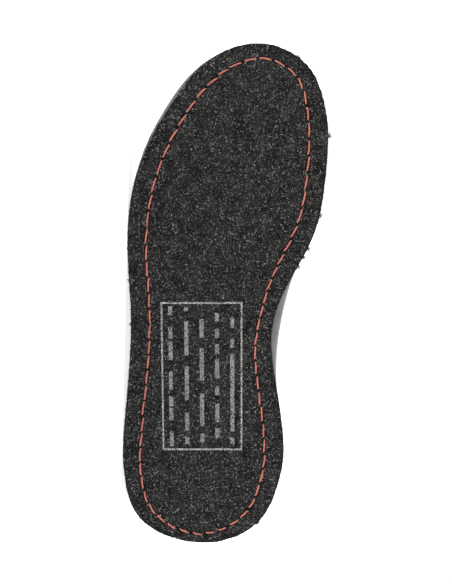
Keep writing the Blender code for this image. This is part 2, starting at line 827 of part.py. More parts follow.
def build_lace():
    """Both lace ends, crossing over the tongue, joined where they cross and by the lowest bar."""
    level = EYELET_LEVELS[0]
    reach = throat_half_width(level) + EYELET_INSET
    bar = []
    for i in range(9):
        lift = lace_height() - LACE_SAG * ease(0.08, 0.50, min(i, 8 - i) / 8.0)
        bar.append(lifted(turn_at(level, mix(reach, -reach, i / 8.0)), level, lift))
    lace = tube_mesh("lace", lace_route(1.0), LACE_DIAMETER)
    PARTS.objects.link(lace)
    for other in (
        tube_mesh("lace_other_end", lace_route(-1.0), LACE_DIAMETER),
        tube_mesh("lace_bar", bar, LACE_DIAMETER),
    ):
        CUTTERS.objects.link(other)
        other.hide_render = True
        other.display_type = "WIRE"
        cut(lace, other, "UNION")


def build_pull_loop():
    """Webbing loop that straddles the back of the collar, its tails lying along the padding."""
    clear = LOOP_THICKNESS / 2.0 + GAP
    outside = ((-0.040, 0.78), (-0.010, 0.84), (0.025, 1.00), (0.070, 1.045), (0.115, 1.015))
    inside = ((0.115, 0.015), (0.080, -0.045), (0.035, -0.015))
    columns = 5
    turn_per_metre = 0.004 / abs(skin(0.004, COLLAR_SEAM_LEVEL)[1])
    crown = skin(0.0, COLLAR_SEAM_LEVEL + 0.139)[2] + LOOP_FINGER_GAP + LOOP_THICKNESS
    routes = []
    for column in range(columns):
        y = LOOP_WIDTH * (column / (columns - 1) - 0.5)
        turn = y * turn_per_metre
        back = [lifted(turn, COLLAR_SEAM_LEVEL + rise, collar_lift(depth) + clear) for rise, depth in outside]
        front = [lifted(turn * 1.3, COLLAR_SEAM_LEVEL + rise, collar_lift(depth) - clear) for rise, depth in inside]
        centre = (back[-1][0] + front[0][0]) / 2.0
        radius = (front[0][0] - back[-1][0]) / 2.0
        arch = []
        for i in range(9):
            angle = math.pi - math.pi * i / 8.0
            arch.append(np.array((centre + radius * math.cos(angle), y, crown - radius + radius * math.sin(angle))))
        route = np.array([*back, *arch, *front])
        route[:, 1] = y
        routes.append(route)
    points = []
    for route in routes:
        legs = np.gradient(route, axis=0)
        legs[:, 1] = 0.0
        legs /= np.linalg.norm(legs, axis=1)[:, None]
        across = np.stack([legs[:, 2], 0.0 * legs[:, 0], -legs[:, 0]], axis=1)
        for side in (-0.5, 0.5):
            points.extend(route + across * side * LOOP_THICKNESS)
    count = len(routes[0])
    border = [2 * column for column in range(columns)] + [2 * column + 1 for column in reversed(range(columns))]
    faces = []
    for i in range(count - 1):
        for a, b in zip(border, [*border[1:], border[0]]):
            faces.append((a * count + i, a * count + i + 1, b * count + i + 1, b * count + i))
    for i in (0, count - 1):
        for column in range(columns - 1):
            a, b = 2 * column, 2 * column + 2
            faces.append((a * count + i, b * count + i, (b + 1) * count + i, (a + 1) * count + i))
    return new_object("pull_loop", points, faces, "textile")


# Resting on the outer side

def solid_facts(piece, graph):
    """Corner points, volume and centre of an evaluated piece."""
    evaluated = piece.evaluated_get(graph)
    mesh = evaluated.to_mesh()
    mesh.calc_loop_triangles()
    points = np.array([piece.matrix_world @ v.co for v in mesh.vertices])
    corners = points[np.array([t.vertices[:] for t in mesh.loop_triangles])]
    volumes = np.einsum("ij,ij->i", corners[:, 0], np.cross(corners[:, 1], corners[:, 2])) / 6.0
    centre = (corners.sum(axis=1) / 4.0 * volumes[:, None]).sum(axis=0) / volumes.sum()
    evaluated.to_mesh_clear()
    return points, volumes.sum(), centre


def resting_direction():
    """Outward direction, in the standing frame, of the plane that the boot lies on, outer side down."""
    bpy.context.view_layer.update()
    graph = bpy.context.evaluated_depsgraph_get()
    cloud, weight, moment = [], 0.0, np.zeros(3)
    for piece in PARTS.objects:
        points, volume, centre = solid_facts(piece, graph)
        mass = volume * DENSITY[piece.data.materials[0].name]
        cloud.append(points)
        weight += mass
        moment += centre * mass
    centre = Vector(moment / weight)
    shape = bmesh.new()
    for point in np.concatenate(cloud):
        shape.verts.new(point)
    bmesh.ops.convex_hull(shape, input=shape.verts)
    found = None
    for face in shape.faces:
        if face.normal.y > -0.8:
            continue
        foot = centre + face.normal * (face.verts[0].co - centre).dot(face.normal)
        if all(
            face.normal.dot((b.co - a.co).cross(foot - a.co)) >= 0.0
            for a, b in zip(face.verts, [*face.verts[1:], face.verts[0]])
        ):
            found = face.normal.copy()
    shape.free()
    return found


def lay_down():
    """Carries the boot on an empty that turns it onto its outer side, sole towards -Y."""
    down = resting_direction()
    up = -down
    toeward = Vector((1.0, 0.0, 0.0))
    across = -(toeward - up * toeward.dot(up)).normalized()
    turned = Matrix((across, up.cross(across), up)).to_4x4()
    graph = bpy.context.evaluated_depsgraph_get()
    points = np.concatenate([solid_facts(piece, graph)[0] for piece in PARTS.objects])
    placed = points @ np.array(turned.to_3x3()).T
    low, high = placed.min(axis=0), placed.max(axis=0)
    shift = Vector((-(low[0] + high[0]) / 2.0, -(low[1] + high[1]) / 2.0, -low[2]))
    carrier = bpy.data.objects.new("boot_on_its_side", None)
    bpy.context.scene.collection.objects.link(carrier)
    for piece in list(PARTS.objects):
        piece.parent = carrier
    for cutter in list(CUTTERS.objects):
        cutter.parent = carrier
    carrier.matrix_world = Matrix.Translation(shift) @ turned


def smooth_shading():
    """Smooth shading with sharp edges on every piece."""
    for piece in PARTS.objects:
        if piece.type == "MESH" and not piece.name.startswith("eyelet"):
            piece.data.shade_smooth()
            piece.data.set_sharp_from_angle(angle=math.radians(38.0))


def main():
    """Builds every piece of the boot."""
    clear_scene()
    holes = eyelet_hole_cutter()
    build_outsole()
    build_midsole()
    build_insole()
    build_upper(holes)
    build_toe_rand()
    build_heel_counter()
    build_eyestays(holes)
    build_collar()
    build_tongue()
    build_eyelets()
    build_hooks()
    build_lace()
    build_pull_loop()
    smooth_shading()
    lay_down()


main()
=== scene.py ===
"""Looks of a right wading boot that lies on its outer side: felt, foam, nubuck, rubber, textile and metal.

Every mesh is made in the boot's own standing frame, in metres: X runs from the back of the heel to the toe,
Y to the inner side and Z up from the ground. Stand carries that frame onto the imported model.

A turn goes from 0 to 1 round the foot, from the back of the heel by the inner side and the toe. A level is 0
at the upper's feather edge and 1 at the collar.
"""

import json
import logging
import math
from collections.abc import Callable, Sequence
from dataclasses import dataclass
from enum import Enum

import bmesh
import bpy
import numpy as np
from mathutils import Matrix, Vector

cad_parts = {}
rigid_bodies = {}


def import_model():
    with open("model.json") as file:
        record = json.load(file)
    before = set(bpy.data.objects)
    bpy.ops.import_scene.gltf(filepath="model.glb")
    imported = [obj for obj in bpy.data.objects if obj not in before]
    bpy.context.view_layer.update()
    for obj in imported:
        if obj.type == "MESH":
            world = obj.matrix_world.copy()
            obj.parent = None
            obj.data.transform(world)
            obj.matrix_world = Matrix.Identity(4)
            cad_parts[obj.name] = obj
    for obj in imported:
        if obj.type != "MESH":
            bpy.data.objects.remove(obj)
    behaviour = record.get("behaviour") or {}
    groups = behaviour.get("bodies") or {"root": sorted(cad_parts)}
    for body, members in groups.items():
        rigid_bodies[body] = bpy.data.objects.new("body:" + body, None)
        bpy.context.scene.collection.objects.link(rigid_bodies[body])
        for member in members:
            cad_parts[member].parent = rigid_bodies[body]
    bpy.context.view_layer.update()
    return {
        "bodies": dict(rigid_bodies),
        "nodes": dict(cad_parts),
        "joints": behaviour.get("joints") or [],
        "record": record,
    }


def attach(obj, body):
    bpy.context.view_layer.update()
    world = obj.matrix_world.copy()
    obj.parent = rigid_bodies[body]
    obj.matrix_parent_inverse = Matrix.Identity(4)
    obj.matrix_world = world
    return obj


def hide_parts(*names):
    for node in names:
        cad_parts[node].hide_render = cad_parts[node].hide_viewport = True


Array = np.ndarray
Socket = bpy.types.NodeSocket
Material = bpy.types.Material
Mesh = bpy.types.Mesh
Colour = tuple[float, float, float, float]
Table = tuple[tuple[float, ...], ...]

LOG = logging.getLogger("wading_boot")

# The photograph: its frame, and where the boot's standing frame lies in it
PHOTO_WIDTH = 452
PHOTO_HEIGHT = 584
METRES_PER_PIXEL = 0.00061
HEEL_END_ROW = 542.0
HEEL_MIDDLE_COLUMN = 203.0

FRAME_MARK = "standing_frame"
FIBRE_SEED = 4
STITCH_SEED = 11
MILLIMETRE = 0.001
QUARTER_TURN = math.pi / 2.0
# Names and signs of the boot's inner and outer side
SIDES = (("medial", 1.0), ("lateral", -1.0))


class Finish(Enum):
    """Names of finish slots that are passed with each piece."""

    FELT = "felt"
    FOAM = "foam"
    FOOTBED = "footbed"
    NUBUCK = "upper_nubuck"
    RUBBER = "rubber"
    FACING = "facing"
    PADDING = "padding"
    CORD = "cord"
    WEBBING = "webbing"
    METAL = "metal"


def grey(value: float, blue: float | None = None) -> Colour:
    """Grey, with its own amount of blue where that is given."""
    return value, value, value if blue is None else blue, 1.0


def mix(low: float, high: float, share: float) -> float:
    """Value between low and high."""
    return low + (high - low) * share


def ease(low: float, high: float, value: Array) -> Array:
    """0 below low, 1 above high, and a smooth rise between."""
    share = np.clip((value - low) / (high - low), 0.0, 1.0)
    return share * share * (3.0 - 2.0 * share)


def unit(vectors: Array) -> Array:
    """Vectors of length one."""
    return vectors / np.linalg.norm(vectors, axis=-1, keepdims=True)


def circle(count: int) -> Array:
    """Even angles round a circle."""
    return 2.0 * math.pi * np.arange(count) / count


def arc_lengths(path: Array) -> Array:
    """Distance of each point of a line from its first, along the line."""
    return np.append(0.0, np.cumsum(np.linalg.norm(np.diff(path, axis=0), axis=1)))


def rows_at(wanted: Array, arc: Array, rows: Array) -> Array:
    """Rows of numbers at distances along a line."""
    return np.stack([np.interp(wanted, arc, column) for column in rows.T], axis=-1)


def from_table(at: Array, table: Table) -> Array:
    """Second column of a table at values of its first."""
    return np.interp(at, *np.array(table).T)


def last_kept(test: Callable[[Array], Array], low: Array, high: Array, rounds: int) -> Array:
    """Highest values that a test keeps, found by halving.

    Args:
        test: Says of each value whether it is kept.
        low: Values that are kept.
        high: Values that aren't.
        rounds: Number of halvings.

    Returns:
        The values.
    """
    for _ in range(rounds):
        half = (low + high) / 2.0
        kept = test(half)
        low, high = np.where(kept, half, low), np.where(kept, high, half)
    return low


def at_photo(column: float, row: float) -> tuple[float, float]:
    """Place (x, y) on the sole, in metres, of a point of the photograph, in pixels."""
    return (HEEL_END_ROW - row) * METRES_PER_PIXEL, (column - HEEL_MIDDLE_COLUMN) * METRES_PER_PIXEL


class SmoothCurve:
    """Cubic curve through rows of numbers, one row for each whole value of its parameter."""

    def __init__(self, rows: Sequence[Sequence[float]], closed: bool = False) -> None:
        """Solves the curve's slopes.

        Args:
            rows: Points that the curve runs through.
            closed: Whether the last row is followed by the first.
        """
        self.rows = np.array(rows, float)
        self.closed = closed
        count = len(self.rows)
        one = np.eye(count)
        pull = 4.0 * one + np.roll(one, 1, 0) + np.roll(one, -1, 0)
        slope = 3.0 * (np.roll(self.rows, -1, 0) - np.roll(self.rows, 1, 0))
        if not closed:
            for end, inward in ((0, 1), (count - 1, count - 2)):
                pull[end] = 2.0 * one[end] + one[inward]
                slope[end] = 3.0 * (self.rows[max(end, inward)] - self.rows[min(end, inward)])
        self.slopes = np.linalg.solve(pull, slope)

    def __call__(self, at: Array) -> Array:
        """Points of the curve, one row for each parameter."""
        count = len(self.rows)
        floor = np.floor(at) if self.closed else np.clip(np.floor(at), 0, count - 2)
        first = floor.astype(int) % count
        second = (first + 1) % count
        share = (at - floor)[..., None]
        rise = self.rows[second] - self.rows[first]
        bend = (share - 1.0) * (self.slopes[first] * (share - 1.0) + self.slopes[second] * share)
        bend -= (share - 1.0) * rise * (2.0 * share - 1.0)
        return self.rows[first] + share * (rise + bend)

    def sampled(self, count: int) -> Array:
        """Points at even parameters from the first row to the last."""
        return self(np.linspace(0.0, len(self.rows) - 1.0, count))


class SoleEdge:
    """Outline of the felt or the midsole, seen from above."""

    def __init__(
        self, rows: Sequence[Sequence[float]], size: tuple[float, float], walk: tuple | None = None,
    ) -> None:
        """Draws the outline.

        Args:
            rows: Points (along, across) as shares of the size.
            size: Length and width in metres.
            walk: Turns and curve parameters of another outline that this one follows.
        """
        self.curve = SmoothCurve(rows, closed=True)
        self.size = size
        self.walk = walk or self.even_walk()

    def even_walk(self) -> tuple[Array, Array]:
        """Turns, slower where the edge bends, and the curve's parameters that they stand for."""
        stops = len(self.curve.rows)
        steps = np.linspace(0.0, stops, 20 * stops + 1)
        legs = np.diff(self.curve(steps) * self.size, axis=0)
        lengths = np.hypot(legs[:, 0], legs[:, 1])
        angles = np.unwrap(np.arctan2(legs[:, 1], legs[:, 0]))
        bends = np.abs(np.diff(angles, append=angles[-1]))
        weights = lengths / lengths.sum() + 0.6 * bends / bends.sum()
        half = len(weights) // 2
        sides = [np.cumsum(part) / part.sum() / 2.0 for part in (weights[:half], weights[half:])]
        return np.concatenate([[0.0], sides[0], 0.5 + sides[1]]), steps

    def at(self, turn: Array) -> Array:
        """Points (x, y) in metres."""
        return self.curve(np.interp(np.mod(turn, 1.0), *self.walk)) * self.size

    def inward(self, turn: Array) -> Array:
        """Unit vectors (x, y) into the sole, square to the edge."""
        step = 0.0015
        along = self.at(turn + step) - self.at(turn - step)
        return unit(np.stack([along[..., 1], -along[..., 0]], axis=-1))


@dataclass
class Last:
    """Form of the boot: the sole's outlines and heights, and the upper's surface."""

    sole_length: float = 0.305
    ball_width: float = 0.1135
    felt_thickness: float = 0.011
    midsole_heel_thickness: float = 0.022
    midsole_ball_thickness: float = 0.011
    midsole_rim_height: float = 0.006
    toe_spring: float = 0.014
    heel_roll: float = 0.0015
    toe_swing: float = 0.0336
    collar_rise: float = 0.140
    upper_wall: float = 0.0024
    gap: float = 0.0003
    # across, as a share of the ball width, where the outline passes the toe's end
    toe_end: float = 0.296
    # along, inner, outer, midsole past inner, midsole past outer
    stations: Table = (
        (0.020, 0.212, -0.231, 0.0, 0.0), (0.068, 0.344, -0.374, 0.0, 0.0), (0.138, 0.415, -0.421, 0.0, 0.0),
        (0.205, 0.429, -0.427, 0.0, 0.0), (0.300, 0.397, -0.408, 0.0, 0.0),
        (0.400, 0.366, -0.389, 0.038, 0.0), (0.478, 0.406, -0.390, 0.034, 0.0),
        (0.549, 0.500, -0.401, 0.0, 0.0), (0.627, 0.601, -0.403, 0.0, 0.0),
        (0.717, 0.650, -0.372, 0.0, 0.004), (0.801, 0.670, -0.298, 0.0, 0.008),
        (0.866, 0.656, -0.197, 0.0, 0.018), (0.934, 0.597, -0.070, 0.0, 0.014),
        (0.981, 0.466, 0.098, 0.0, 0.004),
    )
    # back, front, heel, ball, oval, roundness, rise at back, rise at front
    sections: Table = (
        (0.030, 0.976, 0.830, 0.905, 0.37, 0.00, 0.000, 0.000),
        (0.012, 0.990, 0.885, 0.950, 0.37, 0.00, 0.086, 0.075),
        (0.006, 0.982, 0.890, 0.950, 0.37, 0.02, 0.180, 0.165),
        (0.008, 0.948, 0.870, 0.910, 0.37, 0.05, 0.280, 0.255),
        (0.016, 0.872, 0.840, 0.850, 0.37, 0.12, 0.385, 0.325),
        (0.028, 0.770, 0.800, 0.780, 0.37, 0.25, 0.490, 0.400),
        (0.040, 0.668, 0.770, 0.740, 0.36, 0.42, 0.595, 0.510),
        (0.047, 0.575, 0.750, 0.720, 0.35, 0.62, 0.700, 0.655),
        (0.047, 0.505, 0.740, 0.700, 0.345, 0.80, 0.800, 0.800),
        (0.041, 0.460, 0.740, 0.700, 0.355, 0.92, 0.895, 0.925),
        (0.031, 0.440, 0.740, 0.700, 0.365, 1.00, 0.980, 1.030),
        (0.024, 0.428, 0.740, 0.700, 0.370, 1.00, 1.070, 1.150),
    )
    rings_to_collar: int = 10
    # level, half the throat's width as a share of the ball width
    throat: Table = ((0.565, 0.062), (0.58, 0.097), (0.61, 0.123), (0.7, 0.145), (0.85, 0.167), (1.08, 0.198))
    # turn, millimetres that the sole's edge stands out
    edge_changes: Table = (
        (0.0, 0.5), (0.03, 0.8), (0.08, 0.75), (0.11, 0.5), (0.14, 0.15), (0.17, 0.3), (0.2, -0.2),
        (0.23, 0.0), (0.27, 0.6), (0.3, 0.75), (0.33, 0.45), (0.37, 0.35), (0.41, 0.35), (0.445, 0.9),
        (0.465, 0.8), (0.49, -0.1), (0.53, 0.3), (0.56, -0.1), (0.58, -0.8), (0.62, -0.85), (0.66, -0.75),
        (0.68, -0.2), (0.7, 0.15), (0.76, -0.1), (0.82, -0.2), (0.86, 0.3), (0.9, 0.0), (0.94, 0.4),
        (0.98, 0.6), (1.0, 0.5),
    )

    def __post_init__(self) -> None:
        """Makes the curves that the sizes give."""
        size = (self.sole_length, self.ball_width)
        self.felt = SoleEdge(self.outline_rows(0.0), size)
        self.midsole = SoleEdge(self.outline_rows(1.0), size, self.felt.walk)
        self.rings = SmoothCurve(self.sections)

    def outline_rows(self, past: float) -> list[tuple[float, float]]:
        """Points round a sole edge: heel end, inner side, toe end, outer side.

        Args:
            past: 0 for the felt's edge and 1 for the midsole's.

        Returns:
            Pairs of along and across, as shares.
        """
        inner = [(row[0], row[1] + row[3] * past) for row in self.stations]
        outer = [(row[0], row[2] - row[4] * past) for row in reversed(self.stations)]
        return [(0.0, 0.0), *inner, (1.0, self.toe_end), *outer]

    def wear(self, turn: Array) -> Array:
        """How far the photographed sole's edge stands out from its plain outline, in metres."""
        steps = (-0.012, -0.006, 0.0, 0.006, 0.012)
        changes = [from_table(np.mod(turn + step, 1.0), self.edge_changes) for step in steps]
        return np.mean(changes, axis=0) / 1000.0

    def middle(self, x: Array) -> Array:
        """Y of the foot's middle line, which swings to the inner side in front of the arch."""
        ahead = np.maximum(x / self.sole_length - 0.35, 0.0) / 0.65
        return self.toe_swing * ahead**1.3

    def spring(self, x: Array) -> Array:
        """Height of the sole's underside: flat from heel to ball, rising to the toe."""
        ahead = np.maximum(x / self.sole_length - 0.66, 0.0) / 0.34
        back = np.maximum(0.05 - x / self.sole_length, 0.0) / 0.05
        return self.toe_spring * ahead**2 + self.heel_roll * back**2

    def midsole_foot(self, x: Array) -> Array:
        """Height of the midsole's underside, just above the felt."""
        return self.spring(x) + self.felt_thickness + self.gap

    def footbed(self, x: Array) -> Array:
        """Height of the midsole's top, which the foot and the upper's feather edge stand on."""
        share = ease(0.22, 0.66, x / self.sole_length)
        return self.midsole_foot(x) + mix(self.midsole_heel_thickness, self.midsole_ball_thickness, share)

    def skin(self, turn: Array, level: Array) -> Array:
        """Points (x, y, z) on the upper's outer surface, one for each pair of turn and level."""
        turn, level = np.broadcast_arrays(turn, level)
        ring = np.moveaxis(self.rings(level * self.rings_to_collar), -1, 0)
        back, front, heel, ball, oval, roundness, back_rise, front_rise = ring
        edge = self.felt.at(turn)
        side = edge[..., 1] - self.middle(edge[..., 0])
        angle = 2.0 * math.pi * turn
        along = mix(edge[..., 0] / self.sole_length, (1.0 - np.cos(angle)) / 2.0, roundness)
        scale = mix(heel, ball, ease(0.25, 0.70, along))
        x = mix(back, front, along) * self.sole_length
        y = self.middle(x) + mix(side * scale, np.sin(angle) * oval * self.ball_width, roundness)
        rise = mix(back_rise, front_rise, along) * self.collar_rise
        return np.stack([x, y, self.footbed(x) + rise], axis=-1)

    def over_footbed(self, points: Array) -> Array:
        """Heights of points above the footbed."""
        return points[..., 2] - self.footbed(points[..., 0])

    def outward(self, turn: Array, level: Array) -> Array:
        """Unit vectors out of the upper's surface, one for each pair of turn and level."""
        step = 0.004
        across = self.skin(turn + step, level) - self.skin(turn - step, level)
        up = self.skin(turn, level + step) - self.skin(turn, level - step)
        return unit(np.cross(up, across))

    def lifted(self, turn: Array, level: Array, lift: Array) -> Array:
        """Points at a distance outside the upper's surface.

        Args:
            turn: Turns round the foot.
            level: Levels.
            lift: Distance in metres, negative inside the surface.

        Returns:
            Points (x, y, z).
        """
        return self.skin(turn, level) + self.outward(turn, level) * np.asarray(lift)[..., None]

    def turn_at(self, level: float, reach: float) -> float:
        """Turn of the point that lies some way round from the instep's ridge.

        Args:
            level: Level on the upper.
            reach: Metres along the surface, positive to the inner side.

        Returns:
            The turn, below 0.5 on the inner side.
        """
        fine = np.linspace(0.0, 0.40, 81)
        sign = -1.0 if reach > 0 else 1.0
        arc = arc_lengths(self.skin(0.5 + sign * fine, level))
        return 0.5 + sign * float(np.interp(abs(reach), arc, fine))

    def throat_half_width(self, level: float) -> float:
        """Half the throat's width at a level, in metres."""
        return float(from_table(level, self.throat)) * self.ball_width


@dataclass(frozen=True)
class Stand:
    """The boot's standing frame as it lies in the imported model."""

    matrix: Matrix

    @classmethod
    def from_record(cls, record: dict, last: Last) -> "Stand":
        """Finds the frame from the mount on the tread.

        Args:
            record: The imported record.
            last: The boot's form.

        Returns:
            The standing frame.
        """
        mount_from_heel = 0.35 * last.sole_length
        tread = next(mount for mount in record["mounts"] if mount["name"] == "tread")
        up = -Vector(tread["axis"]).normalized()
        toeward = Vector((0.0, 1.0, 0.0)).cross(up).normalized()
        matrix = Matrix((toeward, up.cross(toeward), up)).transposed().to_4x4()
        matrix.translation = Vector(tread["pos_m"]) - toeward * mount_from_heel
        return cls(matrix)

    def mark(self) -> None:
        """Puts an empty at the frame, from which the materials take their places."""
        empty = bpy.data.objects.new(FRAME_MARK, None)
        bpy.context.scene.collection.objects.link(empty)
        empty.matrix_world = self.matrix
        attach(empty, "root")


def grid_faces(rows: int, columns: int, closed: bool = False) -> Array:
    """Four-sided faces between rows of points.

    Args:
        rows: Number of rows.
        columns: Number of points in a row.
        closed: Whether each row's last point is joined to its first.

    Returns:
        Rows of four point numbers.
    """
    spans = columns if closed else columns - 1
    r, c = np.meshgrid(np.arange(rows - 1), np.arange(spans), indexing="ij")
    nearer = (c + 1) % columns
    quads = [r * columns + c, r * columns + nearer, (r + 1) * columns + nearer, (r + 1) * columns + c]
    return np.stack([quad.ravel() for quad in quads], axis=1)


class MeshMaker:
    """Gathers points and faces of one mesh."""

    def __init__(self) -> None:
        """Starts an empty mesh."""
        self.points: list[Array] = []
        self.faces: list[Array] = []
        self.kinds: list[Array] = []
        self.count = 0

    def add(self, points: Array, faces: Array, kind: int = 0) -> int:
        """Adds points and the faces between them.

        Args:
            points: Rows of (x, y, z).
            faces: Rows of point numbers, counted from these points; a triangle may repeat its last one.
            kind: Number of the faces' material.

        Returns:
            The number that the first of these points has in the mesh.
        """
        first = self.count
        self.points.append(points.reshape(-1, 3))
        self.join(faces + first, kind)
        self.count += len(self.points[-1])
        return first

    def join(self, faces: Array, kind: int = 0) -> None:
        """Adds faces between points that are in the mesh already."""
        self.faces.append(faces)
        self.kinds.append(np.full(len(faces), kind))

    def rings(self, rings: Array, ends: bool = False) -> None:
        """Adds rings of points that are joined one to the next, with flat ends where asked."""
        rows, sides = rings.shape[:2]
        first = self.add(rings, grid_faces(rows, sides, closed=True))
        if ends:
            self.join(first + np.arange(sides) + np.array([[0], [(rows - 1) * sides]]))

    def rungs(self, ring: Array, first: int, cells: int = 2, height: Callable | None = None) -> None:
        """Closes a ring with rungs from its inner side to its outer side.

        Args:
            ring: The ring's points, heel end first and toe end halfway.
            first: Number of the ring's first point in the mesh.
            cells: Number of faces along a rung.
            height: Height of the rungs' points by their x, or None where they run straight.
        """
        half = len(ring) // 2
        near = np.arange(1, half)
        far = len(ring) - near
        shares = (np.arange(1, cells) / cells)[:, None]
        flat = ring[near][:, None, :] * (1.0 - shares) + ring[far][:, None, :] * shares
        if height:
            flat[..., 2] = height(flat[..., 0])
        start = self.add(flat, np.zeros((0, 4), int))
        inside = start + np.arange(flat[..., 0].size).reshape(flat.shape[:2])
        rows = np.concatenate([(first + near)[:, None], inside, (first + far)[:, None]], axis=1)
        quads = np.stack([rows[:-1, :-1], rows[:-1, 1:], rows[1:, 1:], rows[1:, :-1]], axis=-1)
        self.join(quads.reshape(-1, 4))
        for end, row in ((first, rows[0]), (first + half, rows[-1])):
            self.join(np.stack([np.full(cells, end), row[:-1], row[1:]], axis=1))

    def shell(
        self, outer: Array, inner: Array, kinds: tuple[int, int, int] = (0, 0, 0), open_from: int = 0,
    ) -> None:
        """Adds a closed wall between two grids of the same shape.

        Args:
            outer: Rows of points on the outer side.
            inner: The points behind them.
            kinds: Material numbers of the outer side, the inner side and the rims.
            open_from: First row whose two ends are apart, where the rows before it meet themselves.
        """
        rows, columns = outer.shape[:2]
        faces = grid_faces(rows, columns)
        near = self.add(outer, faces, kinds[0])
        far = self.add(inner, faces[:, ::-1], kinds[1])
        numbers = np.arange(rows * columns).reshape(rows, columns)
        for line in (numbers[0], numbers[-1], numbers[open_from:, 0], numbers[open_from:, -1]):
            rim = [line[:-1] + near, line[1:] + near, line[1:] + far, line[:-1] + far]
            self.join(np.stack(rim, axis=1), kinds[2])

    def lathe(self, profile: Table, frame: Array, sides: int = 28) -> None:
        """Adds a ring turned from a closed profile.

        Args:
            profile: Corners (radius, height) of the section, in metres.
            frame: Matrix of the ring's frame, Z along its axis.
            sides: Number of points round the ring.
        """
        angle = circle(sides)
        rings = np.array([
            np.stack([radius * np.cos(angle), radius * np.sin(angle), np.full(sides, height)], axis=1)
            for radius, height in [*profile, profile[0]]
        ])
        self.rings(placed(rings, frame))

    def tube(
        self, spine: Array, radius: Array, sides: int,
        twist: float = 0.0, plies: int = 0, relief: float = 0.0,
        kind: int = 0,
    ) -> None:
        """Adds a closed round cord along a line, twisted from plies where asked.

        Args:
            spine: Rows of (x, y, z) along the cord.
            radius: Radius, one or one for each row.
            sides: Number of points round the cord.
            twist: Turns that the plies make along it.
            plies: Number of plies, or 0 for a smooth cord.
            relief: Depth between plies as a share of the radius.
            kind: Number of the faces' material.
        """
        rows = len(spine)
        along = unit(np.gradient(spine, axis=0))
        helper = np.where(np.abs(along[:, 2:3]) > 0.9, (1.0, 0.0, 0.0), (0.0, 0.0, 1.0))
        first = unit(np.cross(along, helper))
        second = np.cross(along, first)
        angle = circle(sides)
        phase = 2.0 * math.pi * twist * np.linspace(0.0, 1.0, rows)[:, None]
        wave = 1.0 + relief * (np.abs(np.cos(plies / 2.0 * (angle - phase))) - 0.5) if plies else 1.0
        reach = np.broadcast_to(radius, (rows,))[:, None] * wave * np.ones((rows, sides))
        around = first[:, None, :] * np.cos(angle)[:, None] + second[:, None, :] * np.sin(angle)[:, None]
        points = spine[:, None, :] + around * reach[..., None]
        points = np.concatenate([points.reshape(-1, 3), spine[:1], spine[-1:]])
        ring = np.arange(sides)
        faces = [grid_faces(rows, sides, closed=True)]
        for start, centre in ((0, rows * sides), ((rows - 1) * sides, rows * sides + 1)):
            middle = np.full(sides, centre)
            faces.append(np.stack([start + ring, start + (ring + 1) % sides, middle, middle], axis=1))
        self.add(points, np.concatenate(faces), kind)

    def mesh(
        self, name: str, materials: Sequence[Material], crease: float = 60.0, weld: bool = False,
    ) -> Mesh:
        """Makes the mesh.

        Args:
            name: The mesh's name.
            materials: Materials, in the order of the faces' kinds.
            crease: Degrees between faces from which an edge is drawn sharp.
            weld: Whether points that lie together are joined.

        Returns:
            The mesh, with its faces turned outwards and shaded smooth.
        """
        made = bpy.data.meshes.new(name)
        rows = [tuple(dict.fromkeys(row)) for block in self.faces for row in block.tolist()]
        made.from_pydata(np.concatenate(self.points).tolist(), [], rows)
        for material in materials:
            made.materials.append(material)
        made.polygons.foreach_set("material_index", np.concatenate(self.kinds).astype(np.int32))
        shape = bmesh.new()
        shape.from_mesh(made)
        bmesh.ops.recalc_face_normals(shape, faces=shape.faces)
        if weld:
            bmesh.ops.remove_doubles(shape, verts=shape.verts, dist=1e-6)
            bmesh.ops.dissolve_degenerate(shape, edges=shape.edges, dist=1e-6)
            bmesh.ops.recalc_face_normals(shape, faces=shape.faces)
        shape.to_mesh(made)
        shape.free()
        made.shade_smooth()
        made.set_sharp_from_angle(angle=math.radians(crease))
        return made


def placed(points: Array, frame: Array) -> Array:
    """Points of a frame's own space, carried to where the frame lies."""
    return points @ frame[:3, :3].T + frame[:3, 3]


def ripple(points: Array, size: float, seed: int) -> Array:
    """Smooth random numbers over space, made from crossing waves.

    Args:
        points: Rows of (x, y, z) in metres.
        size: Length of the shortest waves, in metres.
        seed: Choice of the waves' directions.

    Returns:
        A number from about -1 to 1 for each point.
    """
    random = np.random.default_rng(seed)
    total = np.zeros(points.shape[:-1])
    waves = 9
    for i in range(waves):
        direction = unit(random.normal(size=3))
        length = size * (1.0 + 1.8 * i / waves)
        total += np.sin(2.0 * math.pi * (points @ direction / length + random.random()))
    return total / math.sqrt(waves) / 1.6


class Workshop:
    def __init__(self, stand: Stand) -> None:
        """Keeps the frame that the pieces are made in."""
        self.stand = stand

    def piece(
        self, mesh: Mesh, finish: Finish, replaces: Sequence[str] = (),
    ) -> None:
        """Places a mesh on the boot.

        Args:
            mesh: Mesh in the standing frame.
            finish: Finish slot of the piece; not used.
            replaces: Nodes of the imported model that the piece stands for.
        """
        mesh.transform(self.stand.matrix)
        made = bpy.data.objects.new(mesh.name, mesh)
        bpy.context.scene.collection.objects.link(made)
        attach(made, "root")
        if replaces:
            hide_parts(*replaces)
        mesh.calc_loop_triangles()
        LOG.info("%s: %d triangles", made.name, len(mesh.loop_triangles))


# Materials


